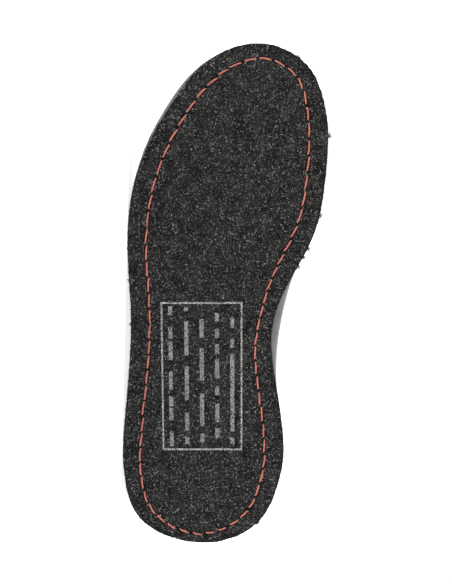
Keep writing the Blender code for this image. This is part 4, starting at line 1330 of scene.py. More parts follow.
@dataclass
class FeltFibres:
    """Loose wool fibres on the tread and round the felt's edge."""

    outsole: FeltOutsole
    tread_count: int = 16400
    fringe_count: int = 5200
    tuft_strands: int = 46
    rows: int = 3
    # how far the tread's fibres stay inside the felt's edge
    trim: float = 0.0006
    # photograph columns and rows of the bigger tufts at the edge
    tufts: tuple[tuple[int, int], ...] = (
        (292, 65), (328, 135), (304, 258), (309, 249), (298, 267), (127, 280), (130, 325), (258, 523),
        (126, 248), (318, 215),
    )

    def strands(
        self, maker: MeshMaker, start: Array, along: Array, aside: Array, bend: Array, radius: Array,
    ) -> None:
        """Adds three-sided bent strands.

        Args:
            maker: The mesh to add to.
            start: Rows of (x, y, z) where the strands begin.
            along: Their whole run, as a vector each.
            aside: Vectors that they bend to.
            bend: How far the middle is off the straight line.
            radius: Radius of each strand at its middle.
        """
        aside = unit(aside)
        share = np.linspace(0.0, 1.0, self.rows)
        arch = 4.0 * share * (1.0 - share)
        bow = aside[:, None] * (bend[:, None] * arch)[..., None]
        spine = start[:, None] + along[:, None] * share[:, None] + bow
        third = unit(np.cross(unit(along), aside))
        angle = (circle(3) + math.pi / 6.0)[:, None]
        around = aside[:, None] * np.cos(angle) + third[:, None] * np.sin(angle)
        thick = radius[:, None] * (0.35 + 0.65 * arch)
        points = spine[:, :, None] + around[:, None] * thick[:, :, None, None]
        first = np.arange(len(start)) * self.rows * 3
        maker.add(points, (first[:, None, None] + grid_faces(self.rows, 3, closed=True)).reshape(-1, 4))

    def tread(self) -> Mesh:
        """Makes the fibres that lie on the tread."""
        last, trim, count = self.outsole.last, self.trim, self.tread_count
        random = np.random.default_rng(FIBRE_SEED)
        fine = np.linspace(0.0, 0.5, 800)
        sides = (last.felt.at(fine), last.felt.at(1.0 - fine))
        inner, outer = (side[np.argsort(side[:, 0])] for side in sides)
        x = random.uniform(0.0, last.sole_length, 3 * count)
        y = random.uniform(-0.5, 0.72, 3 * count) * last.ball_width
        inside = (y < np.interp(x, *inner.T) - trim) & (y > np.interp(x, *outer.T) + trim)
        flat = np.stack([x, y], axis=1)[inside & (x > trim) & (x < last.sole_length - trim)][:count]
        start = self.outsole.under(flat, 0.00002)
        angle = 2.0 * math.pi * random.random(count)
        long = 0.0007 + 0.0016 * random.random(count) ** 1.5
        along = np.stack([np.cos(angle), np.sin(angle), np.zeros(count)], axis=1) * long[:, None]
        aside = np.stack([-np.sin(angle), np.cos(angle), np.full(count, -0.35)], axis=1)
        along[:, 2] = last.spring(flat[:, 0] + along[:, 0]) - last.spring(flat[:, 0])
        bend = np.abs(random.normal(0.0, 0.14, count) * long)
        radius = 0.00005 + 0.00005 * random.random(count)
        maker = MeshMaker()
        self.strands(maker, start - along / 2.0, along, aside, bend, radius)
        return maker.mesh("tread_fibres", [StrandFinish().material()])

    def fringe(self) -> Mesh:
        """Makes the fibres that stand off the felt's edge, with a few tufts."""
        last, count = self.outsole.last, self.fringe_count
        random = np.random.default_rng(FIBRE_SEED + 1)
        turns = random.random(count)
        outward = -last.felt.inward(turns)
        depth = 0.0004 + 0.0100 * random.random(count)
        start = self.outsole.under(last.felt.at(turns) - outward * 0.0001, depth)
        tangent = np.stack([-outward[:, 1], outward[:, 0]], axis=1)
        long = 0.0006 + 0.0015 * random.random(count) ** 2.5
        swing = random.normal(0.0, 1.1, count)
        out = outward * (0.35 + 0.4 * random.random(count))[:, None] + tangent * swing[:, None]
        along = unit(np.concatenate([out, random.normal(0.0, 0.5, count)[:, None]], axis=1)) * long[:, None]
        far = (along[:, :2] * outward).sum(1, keepdims=True) > 0.0007
        along[:, :2] = np.where(far, along[:, :2] * 0.6, along[:, :2])
        aside = np.cross(along, random.normal(size=(count, 3)))
        maker = MeshMaker()
        radius = 0.00006 + 0.00005 * random.random(count)
        self.strands(maker, start, along, aside, random.normal(0.0, 0.22, count) * long, radius)
        for column, row in self.tufts:
            self.tuft(maker, random, np.array(at_photo(column, row)), column < HEEL_MIDDLE_COLUMN)
        finish = StrandFinish("edge_strand", grey(0.012), grey(0.10, 0.098))
        return maker.mesh("edge_fibres", [finish.material()])

    def tuft(self, maker: MeshMaker, random: np.random.Generator, place: Array, floorward: bool) -> None:
        """Adds a tuft at the edge.

        Args:
            maker: The mesh to add to.
            random: Source of the strands' spread.
            place: Point (x, y) near the edge.
            floorward: Whether the tuft is on the side that lies on the floor, where it stays thin and short.
        """
        felt, spring = self.outsole.last.felt, self.outsole.last.spring
        fine = np.linspace(0.0, 1.0, 2001)
        edge = felt.at(fine)
        nearest = int(np.argmin(np.hypot(*(edge - place).T)))
        many = self.tuft_strands // 2 if floorward else self.tuft_strands
        start = np.tile(np.append(edge[nearest], 0.0), (many, 1)) + random.normal(0.0, 0.0004, (many, 3))
        start[:, 2] = spring(edge[nearest, 0]) + 0.0006 + 0.0030 * random.random(many)
        run = random.normal(0.0, 0.75, (many, 2)) - felt.inward(fine[nearest])
        along = unit(np.concatenate([run, random.normal(-0.1, 0.4, many)[:, None]], axis=1))
        along *= (0.0011 + 0.0016 * random.random(many))[:, None] * (0.4 if floorward else 1.0)
        aside = np.cross(along, random.normal(size=(many, 3)))
        self.strands(maker, start, along, aside, random.normal(0.0, 0.00045, many), np.full(many, 0.00015))


@dataclass
class Midsole:
    """Foam wedge with a groove along its side and a rim that cups the upper."""

    last: Last
    effects: Effects
    columns: int = 620
    rim_inset: float = 0.0024
    groove_share: float = 0.46
    groove_depth: float = 0.0012
    groove_width: float = 0.0024
    groove_lip: float = 0.00045
    bulge: float = 0.0004
    toe_sliver: float = 0.0003
    toe_sliver_turn: float = 0.595

    def profile(self) -> list[tuple[float, float, float]]:
        """Section of the side, foot to rim, as rows of (share of the height, inset, lift in metres)."""
        groove, lip = self.groove_share, self.groove_lip
        rows = [
            (0.0, 0.0060, 0.0), (0.0, 0.0016, 0.0), (0.012, 0.0009, 0.0), (0.035, 0.0004, 0.0),
            (0.08, 0.0, 0.0),
        ]
        for share in np.linspace(0.12, groove - 0.03, 7):
            rows.append((share, -self.bulge * math.sin(math.pi * (share - 0.08) / (groove - 0.08)), 0.0))
        rows.append((groove, 0.00005, -lip))
        for step in np.linspace(0.0, 1.0, 7):
            depth = self.groove_depth * math.sin(math.pi * mix(0.12, 0.88, step)) ** 0.6
            rows.append((groove, depth, self.groove_width * step))
        rows.append((groove, 0.00005, self.groove_width + lip))
        for share in np.linspace(groove + 0.16, 0.93, 7):
            past = (share - groove) / (1.0 - groove)
            rows.append((share, self.rim_inset * past**1.5 - self.bulge * math.sin(math.pi * past), 0.0))
        return [*rows, (0.975, self.rim_inset * 0.97, 0.0), (0.995, self.rim_inset + 0.0003, 0.0)]

    def dress(self, workshop: Workshop) -> None:
        """Makes the midsole, in rings from under the foot over the side to the seat of the upper."""
        last = self.last
        turns = np.arange(self.columns) / self.columns
        edge, inward, worn = last.midsole.at(turns), last.midsole.inward(turns), last.wear(turns)
        beside = np.exp(-(((turns - self.toe_sliver_turn) / 0.035) ** 2)) * self.toe_sliver
        rings = []
        for share, inset, lift in self.profile():
            press = beside * math.sin(math.pi * min(share + 0.1, 1.0)) + worn * (1.0 - share) ** 0.7
            flat = edge + inward * (inset - press)[:, None]
            foot, rim = last.midsole_foot(flat[:, 0]), last.footbed(flat[:, 0]) + last.midsole_rim_height
            rings.append(np.column_stack([flat, mix(foot, rim, share) + lift]))
        lip = last.midsole_rim_height
        for level, height in ((0.06, lip), (0.055, lip - 0.0008), (0.0, 0.0)):
            ring = last.lifted(turns, level, last.gap * 1.5)
            ring[:, 2] = last.footbed(ring[:, 0]) + height - last.gap
            rings.append(ring)
        maker = MeshMaker()
        maker.rings(np.stack(rings))
        maker.rungs(rings[0], 0)
        maker.rungs(rings[-1], (len(rings) - 1) * self.columns)
        mesh = maker.mesh("midsole_foam", [FoamFinish().material(self.effects)], 70.0)
        workshop.piece(mesh, Finish.FOAM, ["midsole"])


@dataclass
class Insole:
    """Loose footbed with a soft rounded edge."""

    last: Last
    effects: Effects
    columns: int = 220
    clearance: float = 0.0008
    thickness: float = 0.0045
    hollow: float = 0.0012

    def dress(self, workshop: Workshop) -> None:
        """Makes the insole."""
        last = self.last
        turns = np.arange(self.columns) / self.columns
        inset = last.upper_wall + self.clearance
        rings = []
        sides = ((0.0, 0.004), (0.0, 0.0006), (0.12, 0.0), (0.75, 0.0), (0.93, 0.0007), (1.0, 0.0022))
        for share, pull in sides:
            ring = last.lifted(turns, share * self.thickness / last.collar_rise, -(inset + pull))
            ring[:, 2] = last.footbed(ring[:, 0]) + share * self.thickness
            rings.append(ring)
        top = rings[-1]
        centre = np.column_stack([top[:, 0], last.middle(top[:, 0]), top[:, 2]])
        for share in np.linspace(0.06, 0.94, 22):
            ring = mix(top, centre, share)
            sink = self.hollow * math.sin(QUARTER_TURN * share) * (1.0 + 0.3 * np.cos(ring[:, 0] * 30.0))
            ring[:, 2] = last.footbed(ring[:, 0]) + self.thickness - sink
            rings.append(ring)
        maker = MeshMaker()
        maker.rings(np.stack(rings))
        half = self.columns // 2
        near, far = np.arange(1, half), self.columns - np.arange(1, half)
        for first in (0, (len(rings) - 1) * self.columns):
            maker.join(first + np.stack([near[:-1], near[1:], far[1:], far[:-1]], axis=1))
            maker.join(first + np.array([(0, 1, self.columns - 1), (half - 1, half, half + 1)]))
        finish = WovenFinish("footbed_cloth", (0.045, 0.046, 0.048, 1.0), grey(0.020, 0.021), 1400.0)
        mesh = maker.mesh("insole_footbed", [finish.material(self.effects)])
        workshop.piece(mesh, Finish.FOOTBED, ["insole"])


# Upper


@dataclass
class WornSurface:
    """The upper's surface with its folds, where the wall, overlays, facings, seams and lace are placed."""

    last: Last
    # folds in side view, ridges where the depth is negative: along and height as shares, lean in degrees,
    # length, width and depth in metres, side, bow
    folds: Table = (
        (0.690, 0.32, 96.0, 0.036, 0.0039, 0.0018, 0, 2.0),
        (0.728, 0.30, 98.0, 0.030, 0.0046, -0.0013, 0, 2.0),
        (0.762, 0.27, 99.0, 0.028, 0.0037, 0.0015, 0, 2.5),
        (0.652, 0.36, 92.0, 0.032, 0.0048, -0.0013, 0, 2.0),
        (0.610, 0.38, 90.0, 0.026, 0.0041, 0.0013, 1, 3.0),
        (0.345, 0.56, -32.0, 0.030, 0.0052, 0.0021, 1, 5.0),
        (0.300, 0.66, -26.0, 0.026, 0.0046, 0.0018, 1, 5.0),
        (0.330, 0.62, -28.0, 0.024, 0.0041, -0.0013, 1, 5.0),
        (0.360, 0.54, -36.0, 0.032, 0.0053, 0.0021, -1, 4.0),
        (0.310, 0.67, -22.0, 0.028, 0.0046, 0.0018, -1, 5.0),
        (0.338, 0.61, -28.0, 0.024, 0.0041, -0.0013, -1, 5.0),
        (0.090, 0.66, 8.0, 0.026, 0.0041, 0.0015, 0, 3.0), (0.095, 0.60, 6.0, 0.022, 0.0039, -0.0010, 0, 3.0),
        (0.480, 0.40, -62.0, 0.024, 0.0051, 0.0013, 1, 4.0),
        (0.500, 0.42, -60.0, 0.024, 0.0051, 0.0013, -1, 4.0),
    )

    def sink(self, points: Array) -> Array:
        """How far the folds press each point in, in metres."""
        last = self.last
        x, height = points[..., 0], last.over_footbed(points)
        beside = points[..., 1] - last.middle(x)
        total = np.zeros(x.shape)
        for along, up, degrees, length, width, depth, side, bow in self.folds:
            lean = math.radians(degrees)
            dx, dh = x - along * last.sole_length, height - up * last.collar_rise
            run = dx * math.cos(lean) + dh * math.sin(lean)
            off = dh * math.cos(lean) - dx * math.sin(lean) + bow * run**2
            window = np.clip(1.0 - (run / length) ** 2, 0.0, 1.0) ** 2
            here = depth * np.exp(-((off / width) ** 2)) * window
            total += here * (ease(-0.002, 0.010, side * beside) if side else 1.0)
        return total

    def at(self, turn: Array, level: Array, lift: Array) -> Array:
        """Points over the folded surface.

        Args:
            turn: Turns round the foot.
            level: Levels.
            lift: Distance outside the surface, in metres.

        Returns:
            Points (x, y, z).
        """
        skin = self.last.skin(turn, level)
        return skin + self.last.outward(turn, level) * (lift - self.sink(skin))[..., None]

    def frame(self, turn: float, level: float, lift: float) -> Array:
        """Matrix at a point of the surface: X away from the throat, Z outwards."""
        last = self.last
        here, ridge = last.lifted(turn, level, lift), last.lifted(0.5, level, lift)
        outward = last.outward(turn, level)
        upward = unit(last.lifted(0.5, level + 0.01, lift) - ridge)
        aside = here - ridge
        for direction in (outward, upward, outward):
            aside = unit(aside - direction * (aside @ direction))
        made = np.eye(4)
        made[:3, :3] = np.stack([aside, np.cross(outward, aside), outward], axis=1)
        made[:3, 3] = self.at(turn, level, lift)
        return made


def soft_sheet(
    surface: WornSurface, turn: Array, level: Array, near: Array, thickness: float,
) -> tuple[Array, Array]:
    """Outer and inner points of a sheet on the upper whose rims fall off softly.

    Args:
        surface: The surface that it lies on.
        turn: Turns of its points.
        level: Levels of its points.
        near: Distances from its nearest rim, as shares of the soft rim's width.
        thickness: Its thickness.

    Returns:
        The outer points and the inner ones.
    """
    bevel = 1.0 - (1.0 - np.clip(near, 0.0, 1.0)) ** 2
    gap = surface.last.gap
    lift = gap + thickness * (0.22 + 0.78 * np.sqrt(bevel))
    return surface.at(turn, level, lift), surface.at(turn, level, gap * 0.4)


@dataclass
class Throat:
    """U-shaped opening over the instep, and places beside it."""

    last: Last
    foot: float = 0.565
    bow_height: float = 0.045
    bend: float = 0.16
    metres_per_level: float = 0.250
    eyelet_inset: float = 0.0078
    eyelet_levels: tuple[float, ...] = (0.615, 0.675, 0.735, 0.800)
    hook_levels: tuple[float, ...] = (0.872, 0.945)

    def __post_init__(self) -> None:
        """Works out the level where the bend of the foot ends."""
        self.shoulder = self.foot + self.bow_height

    def bent(self, angle: Array) -> Array:
        """Levels round the foot of the opening."""
        return self.foot + self.bow_height * (1.0 - np.cos(angle))

    def half_widths(self, level: Array) -> Array:
        """Half the opening's width at levels, which the bend leaves as it is at the shoulder."""
        return np.vectorize(self.last.throat_half_width)(np.maximum(level, self.shoulder))

    def edge(self, share: Array, top: float) -> tuple[Array, Array]:
        """The opening's edge from the middle of its foot up one side.

        Args:
            share: 0 at the foot and 1 at the top.
            top: Level where the edge ends.

        Returns:
            Distance from the ridge, and level.
        """
        angle = np.clip(share / self.bend, 0.0, 1.0) * math.pi / 2.0
        straight = np.clip((share - self.bend) / (1.0 - self.bend), 0.0, 1.0)
        level = self.bent(angle) + straight * (top - self.shoulder)
        return self.half_widths(level) * np.sin(angle), level

    def beside(self, share: Array, top: float, offset: float) -> tuple[Array, Array]:
        """A line that runs along the edge at a distance.

        Args:
            share: 0 at the foot and 1 at the top.
            top: Level where the line ends.
            offset: Metres from the edge, away from the opening.

        Returns:
            Distance from the ridge, and level.
        """
        reach, level = self.edge(share, top)
        step = 0.002
        after = self.edge(np.minimum(share + step, 1.0), top)
        before = self.edge(np.maximum(share - step, 0.0), top)
        climb = (after[1] - before[1]) * self.metres_per_level
        along = unit(np.stack([after[0] - before[0], climb], axis=-1))
        return reach + offset * along[..., 1], level - offset * along[..., 0] / self.metres_per_level

    def spots(self, levels: Sequence[float]) -> list[tuple[str, float, float]]:
        """Name, turn and level of a pair of places at each level, inner side first."""
        found = []
        for number, level in enumerate(levels, 1):
            reach = self.last.throat_half_width(level) + self.eyelet_inset
            for name, side in SIDES:
                found.append((f"{name}_{number}", self.last.turn_at(level, side * reach), level))
        return found


@dataclass
class UpperShell:
    """Nubuck wall with its lining, open at the throat and under the collar."""

    surface: WornSurface
    throat: Throat
    effects: Effects
    rows: int = 104
    columns: int = 281
    # levels: reach of the fan of rows below and above the throat's foot, start of the squeeze at the top
    fan_below: float = 0.04
    fan_above: float = 0.05
    squeeze_start: float = 0.62
    collar_slope: float = 0.012

    def levels(self) -> tuple[Array, Array, Array, int]:
        """Levels at the heel and at the throat, reach from the ridge, and the first open row."""
        throat = self.throat
        body = np.linspace(0.0, 1.0, self.rows)
        start, end = throat.foot - self.fan_below, throat.foot + self.fan_above
        angle = np.clip((body - start) / (end - start), 0.0, 1.0) * math.pi / 2.0
        above = throat.shoulder + (body - end) * (1.0 - throat.shoulder) / (1.0 - end)
        front = np.where(body >= end, above, throat.bent(angle))
        front = np.where(body <= start, body * throat.foot / start, front)
        return body, front, throat.half_widths(front) * np.sin(angle), int(np.argmax(body > start)) - 1

    def grid(self) -> tuple[Array, Array, int]:
        """Turns and levels of the wall's points, and the first open row."""
        last = self.surface.last
        body, front, reach, open_from = self.levels()
        share = np.linspace(0.0, 1.0, self.columns)
        level = mix(front[:, None], body[:, None], ease(0.0, 0.16, np.minimum(share, 1.0 - share)))
        first, final = (
            np.array([last.turn_at(v, side * r) if r > 0.0 else 0.5 for v, r in zip(front, reach)])[:, None]
            for _, side in SIDES
        )
        turn = first + (final - 1.0 - first) * share
        inner, outer = (last.turn_at(Cuff.seam_level, side * Cuff.start) for _, side in SIDES)
        rim, slope = turn[-1], self.collar_slope
        ahead = np.maximum(ease(inner, inner + slope, rim), ease(1.0 - outer, 1.0 - outer + slope, -rim))
        top = mix(Cuff.seam_level, 0.996, ahead)
        start = self.squeeze_start
        squeeze = np.clip((level - start) / (1.0 - start), 0.0, 1.0)
        return turn, np.where(level > start, start + squeeze * (top - start), level), open_from

    def mesh(self) -> Mesh:
        """Makes the wall."""
        turn, level, open_from = self.grid()
        outer, inner = (self.surface.at(turn, level, lift) for lift in (0.0, -self.surface.last.upper_wall))
        maker = MeshMaker()
        maker.shell(outer, inner, (0, 1, 2), open_from)
        finishes = [
            NubuckFinish(),
            WovenFinish("mesh_lining", (0.055, 0.056, 0.058, 1.0), grey(0.018, 0.019), 1150.0),
            WovenFinish("cut_edge", grey(0.050, 0.052), grey(0.030, 0.031), 1500.0),
        ]
        materials = [finish.material(self.effects) for finish in finishes]
        return maker.mesh("upper_shell", materials, 50.0, weld=True)


@dataclass
class SideLine:
    """A cut line drawn in side view: along and height as shares, heel side or toe side kept."""

    last: Last
    rows: Table
    toeward: bool

    def __post_init__(self) -> None:
        """Samples the line."""
        fine = SmoothCurve(self.rows).sampled(200)
        order = np.argsort(fine[:, 0])
        self.alongs = fine[order, 0] * self.last.sole_length
        self.heights = fine[order, 1] * self.last.collar_rise

    def covers(self, turn: Array, level: Array) -> Array:
        """Whether points of the upper lie on the kept side of the line."""
        points = self.last.skin(turn, level)
        x = points[..., 0]
        under = self.last.over_footbed(points) < np.interp(x, self.alongs, self.heights)
        ahead, behind = x > self.alongs[-1], x < self.alongs[0]
        past, short = (ahead, behind) if self.toeward else (behind, ahead)
        return (under | past) & ~short

    def top(self, turns: Array) -> Array:
        """Level at which each turn leaves the kept side."""
        scan = np.linspace(0.05, 0.95, 181)
        first_out = np.argmax(~self.covers(turns[:, None], scan[None, :]), axis=1)
        low = scan[np.maximum(first_out - 1, 0)]
        return last_kept(lambda half: self.covers(turns, half), low, scan[first_out], 12)

    def rim(self, turns: Array) -> Array:
        """Level just above the midsole's rim at each turn."""
        last = self.last
        wanted = last.midsole_rim_height + last.gap
        low, high = np.zeros(len(turns)), np.full(len(turns), 0.3)
        return last_kept(lambda half: last.over_footbed(last.skin(turns, half)) < wanted, low, high, 18)


class Overlay:
    """A sheet with soft edges that lies on the upper, from the midsole's rim up to a cut line."""

    THICKNESS = 0.0016
    SOFT = 0.0016
    LEAST_HEIGHT = 0.010
    RIMS = (0.0, 0.0002, 0.0005, 0.0010, 0.0016)
    CELLS = 30

    def __init__(self, surface: WornSurface, line: SideLine, turns: Array) -> None:
        """Finds the sheet's lower and upper edge.

        Args:
            surface: The surface that it lies on.
            line: Its cut line.
            turns: Turns of its columns.
        """
        self.surface = surface
        self.turns = turns
        self.low = line.rim(turns)
        high = np.maximum(line.top(turns), self.low + self.LEAST_HEIGHT)
        self.high = np.convolve(np.pad(high, 2, mode="edge"), np.ones(5) / 5.0, mode="valid")

    def mesh(self, name: str, material: Material) -> Mesh:
        """Makes the sheet."""
        last = self.surface.last
        foot = last.skin(self.turns, self.low)
        tall = np.linalg.norm(last.skin(self.turns, self.high) - foot, axis=-1)
        rims = np.array(self.RIMS)
        inside = np.linspace(0.0, 1.0, self.CELLS + 2)[1:-1]
        scale = np.minimum(1.0, tall / (3.2 * rims[-1]))
        steps = np.concatenate([
            rims[:, None] * scale,
            rims[-1] * scale + inside[:, None] * (tall - 2.0 * rims[-1] * scale),
            tall - rims[::-1, None] * scale,
        ])
        level = self.low + (self.high - self.low) * steps / tall
        along = arc_lengths(foot)
        near = np.minimum(np.minimum(steps, tall - steps), np.minimum(along, along[-1] - along))
        turn = np.broadcast_to(self.turns, level.shape)
        maker = MeshMaker()
        maker.shell(*soft_sheet(self.surface, turn, level, near / self.SOFT, self.THICKNESS))
        return maker.mesh(name, [material], 55.0)

    def sew(self, seams: "SeamMaker") -> None:
        """Sews two rows below the cut line, where the sheet is tall enough."""
        for inset in (0.014, 0.030):
            keep = self.high - inset > self.low + 0.012
            seams.row(self.turns[keep], (self.high - inset)[keep], self.surface.last.gap + self.THICKNESS)


class SeamMaker:
    """Gathers rows of small stitches and the folded edges of panels that lie on the upper."""

    # a fold's section: distance across it, and its height as a share
    FOLD = (
        (-0.0006, -0.35), (-0.0005, 0.25), (-0.0002, 0.80), (0.0002, 1.0), (0.0008, 0.92), (0.0020, 0.62),
        (0.0036, 0.28), (0.0056, 0.02), (0.0072, -0.35),
    )
    FOLD_HEIGHT = 0.0007
    THREAD_RADIUS = 0.00036
    SUNK = 0.00045

    def __init__(self, surface: WornSurface) -> None:
        """Starts without stitches."""
        self.surface = surface
        self.maker = MeshMaker()
        self.edges = MeshMaker()
        self.random = np.random.default_rng(STITCH_SEED + 1)

    def row(self, turns: Array, levels: Array, lift: float, pitch: float = 0.0034) -> None:
        """Sews one row.

        Args:
            turns: Turns along the row.
            levels: Levels along it.
            lift: Height of the sewn face over the upper's surface.
            pitch: Length from one stitch to the next.
        """
        path = self.surface.at(turns, levels, lift)
        normal = self.surface.last.outward(turns, levels)
        arc = arc_lengths(path)
        count = max(int(arc[-1] / pitch), 1)
        even = arc[-1] / count
        lengthwise = np.linspace(0.0, 1.0, 7)
        arch = np.sin(math.pi * lengthwise) ** 0.6
        radius = self.THREAD_RADIUS
        for i in range(count):
            at = (i + 0.14 + 0.05 * self.random.random()) * even + lengthwise * even * 0.74
            spine, up = rows_at(at, arc, path), rows_at(at, arc, normal)
            spine += up * ((self.SUNK + radius * 0.55) * arch - self.SUNK)[:, None]
            self.maker.tube(spine, radius * (0.8 + 0.2 * arch), 6)

    def panel_edge(self, turns: Array, levels: Array, side: float) -> None:
        """Lays the folded edge of a panel: steep on one side, running out on the other.

        Args:
            turns: Turns along the edge.
            levels: Levels along it.
            side: 1 where the panel lies to the left of the way along the edge, -1 to the right.
        """
        path = self.surface.at(turns, levels, 0.0)
        normal = self.surface.last.outward(turns, levels)
        across = unit(np.cross(normal, np.gradient(path, axis=0))) * side
        steps = np.arange(len(path))
        taper = np.clip(np.minimum(steps, steps[::-1]) / 6.0, 0.0, 1.0) ** 0.5
        height = (self.FOLD_HEIGHT * taper)[:, None]
        rows = np.array([path + across * reach + normal * (rise * height) for reach, rise in self.FOLD])
        first, final = rows[0] - normal * 0.0008, rows[-1] - normal * 0.0008
        below = [mix(first, final, share) for share in np.linspace(0.0, 1.0, len(rows))]
        self.edges.shell(rows, np.array(below))


@dataclass
class Facings:
    """Eyestays on both sides of the throat, with their eyelets and hooks."""

    surface: WornSurface
    throat: Throat
    effects: Effects
    width: float = 0.017
    length: float = 0.115
    thickness: float = 0.0016
    edge_gap: float = 0.0006
    ridge_gap: float = 0.00035
    top: float = 0.988
    rows: int = 110
    rims: tuple[float, ...] = (0.0, 0.0002, 0.0005, 0.0010, 0.0016)
    # radius and height of an eyelet: flange and barrel over the eyestay's face, washer under the wall
    flange: Table = (
        (0.0022, 0.0013), (0.0024, 0.0018), (0.0029, 0.0021), (0.0035, 0.0020), (0.0040, 0.0015),
        (0.0043, 0.0009), (0.0044, 0.0001), (0.0040, 0.0001), (0.0036, 0.0006), (0.0027, 0.0004),
    )
    washer: Table = ((0.0027, -0.0026), (0.0038, -0.0027), (0.0039, -0.0032), (0.0026, -0.0046))
    hook_half_length: float = 0.00425
    hook_half_width: float = 0.0035
    hook_neck: float = 0.0011
    hook_bend: float = 0.0023
    hook_metal: float = 0.0011
    # corners of the hook's section: shares of its half width and of its thickness
    hook_section: Table = (
        (-1.0, -0.32), (-0.93, -0.5), (0.93, -0.5), (1.0, -0.32), (1.0, 0.32), (0.93, 0.5), (-0.93, 0.5),
        (-1.0, 0.32),
    )
    rivet_place: float = 0.0014
    rivet: Table = (
        (0.00001, 0.0), (0.0019, 0.0), (0.0019, 0.0002), (0.0015, 0.0006), (0.0008, 0.0008),
        (0.00001, 0.0009),
    )

    def stay(self, side: float) -> tuple[Array, Array, Array]:
        """Turns, levels and distances from the rim of one eyestay's points."""
        share = np.linspace(0.0, 1.0, self.rows)
        rims, width = self.rims, self.width
        inside = np.linspace(rims[-1], width - rims[-1], 14)[1:-1]
        across = np.array([*rims, *inside, *(width - rim for rim in rims[::-1])])
        turn_at = np.vectorize(self.surface.last.turn_at)
        turns, levels = [], []
        for offset in across:
            reach, level = self.throat.beside(share, self.top, self.edge_gap + offset)
            turns.append(turn_at(level, side * np.maximum(reach, self.ridge_gap)))
            levels.append(level)
        ends = share * self.length
        near = np.minimum(np.minimum(across, width - across)[:, None], np.minimum(ends, self.length - ends))
        return np.array(turns), np.array(levels), near

    def dress(self, workshop: Workshop, seams: SeamMaker) -> None:
        """Makes the eyestays, eyelets and hooks."""
        material = FacingFinish().material(self.effects)
        face = self.surface.last.gap + self.thickness
        for name, side in SIDES:
            turn, level, near = self.stay(side)
            maker = MeshMaker()
            maker.shell(*soft_sheet(self.surface, turn, level, near / self.rims[-1], self.thickness))
            workshop.piece(maker.mesh("facing_" + name, [material], 55.0), Finish.FACING, ["eyestay_" + name])
            for line in (6, -6):
                seams.row(turn[line], level[line], face)
        for level in np.linspace(self.throat.foot - 0.060, self.throat.foot - 0.010, 9):
            seams.row(np.array((0.487, 0.513)), np.full(2, level), face, pitch=0.02)
        self.eyelets(workshop, face)
        self.hooks(workshop, face + 3.0 * self.surface.last.gap)

    def eyelets(self, workshop: Workshop, face: float) -> None:
        """Makes the rings: a rolled flange outside, a barrel and a washer inside.

        Args:
            workshop: Where the pieces are placed.
            face: Height of the eyestay's outer face.
        """
        flange = [(radius, face + height) for radius, height in self.flange]
        profile = [(self.flange[0][0], self.washer[-1][1]), *flange, *self.washer]
        material = MetalFinish("dark_nickel").material(self.effects)
        for name, turn, level in self.throat.spots(self.throat.eyelet_levels):
            maker = MeshMaker()
            maker.lathe(profile, self.surface.frame(turn, level, 0.0))
            workshop.piece(maker.mesh("eyelet_ring_" + name, [material]), Finish.METAL, ["eyelet_" + name])

    def hook_rings(self) -> Array:
        """Rings of points of a hook's strip, from its plate round the neck to the cap over it."""
        half, metal = self.hook_half_length, self.hook_metal
        middle, radius = metal + self.hook_bend, self.hook_bend + metal / 2
        angles = np.radians(-90.0 - np.linspace(0.0, 180.0, 13))[1:-1]
        bend = -half + self.hook_bend
        neck = [(bend + radius * math.cos(angle), middle + radius * math.sin(angle)) for angle in angles]
        plate = [(x, metal / 2.0) for x in np.linspace(half, bend + 0.0004, 8)]
        lid = 2.0 * middle - metal / 2.0
        cap = [(x, lid - 0.00035 * (x + half) / half) for x in np.linspace(-0.0012, 0.0036, 7)]
        line = np.array([*plate, *neck, *cap])
        arc = arc_lengths(line)
        total = arc[-1]
        wide = self.hook_half_width - self.hook_neck * np.exp(-(((arc - 0.56 * total) / (0.16 * total)) ** 2))
        for from_end, soft in ((arc, 0.0030), (total - arc, 0.0032)):
            wide *= np.sqrt(np.clip(1.0 - np.clip(1.0 - from_end / soft, 0.0, 1.0) ** 2, 0.08, 1.0))
        along = unit(np.gradient(line, axis=0))
        across = np.stack([-along[:, 1], along[:, 0]], axis=1) * metal
        return np.array([
            [(point[0] + over[0] * v, u * width, point[1] + over[1] * v) for u, v in self.hook_section]
            for point, over, width in zip(line, across, wide)
        ])

    def hooks(self, workshop: Workshop, lift: float) -> None:
        """Makes the speed hooks: a riveted plate whose neck curls back over it.

        Args:
            workshop: Where the pieces are placed.
            lift: Height of the plates' undersides over the upper's surface.
        """
        material = MetalFinish("hook_nickel").material(self.effects)
        strip = self.hook_rings()
        head = np.eye(4)
        head[:3, 3] = (self.rivet_place, 0.0, self.hook_metal)
        for name, turn, level in self.throat.spots(self.throat.hook_levels):
            frame = self.surface.frame(turn, level, lift)
            maker = MeshMaker()
            maker.rings(placed(strip, frame), ends=True)
            maker.lathe(self.rivet, frame @ head, 16)
            workshop.piece(maker.mesh("speed_hook_" + name, [material], 40.0), Finish.METAL, ["hook_" + name])


@dataclass
class Cuff:
    """Where the collar's padding lies on the upper."""

    last: Last
    effects: Effects
    seam_level: float = 0.868
    start: float = 0.045
    padding: float = 0.0134
    inner_face: float = -0.0100

    def face(self, depth: Array) -> Array:
        """Lift of a depth in the padding, 0 at its inner face and 1 at its outer one."""
        return mix(self.inner_face, self.inner_face + self.padding, depth)


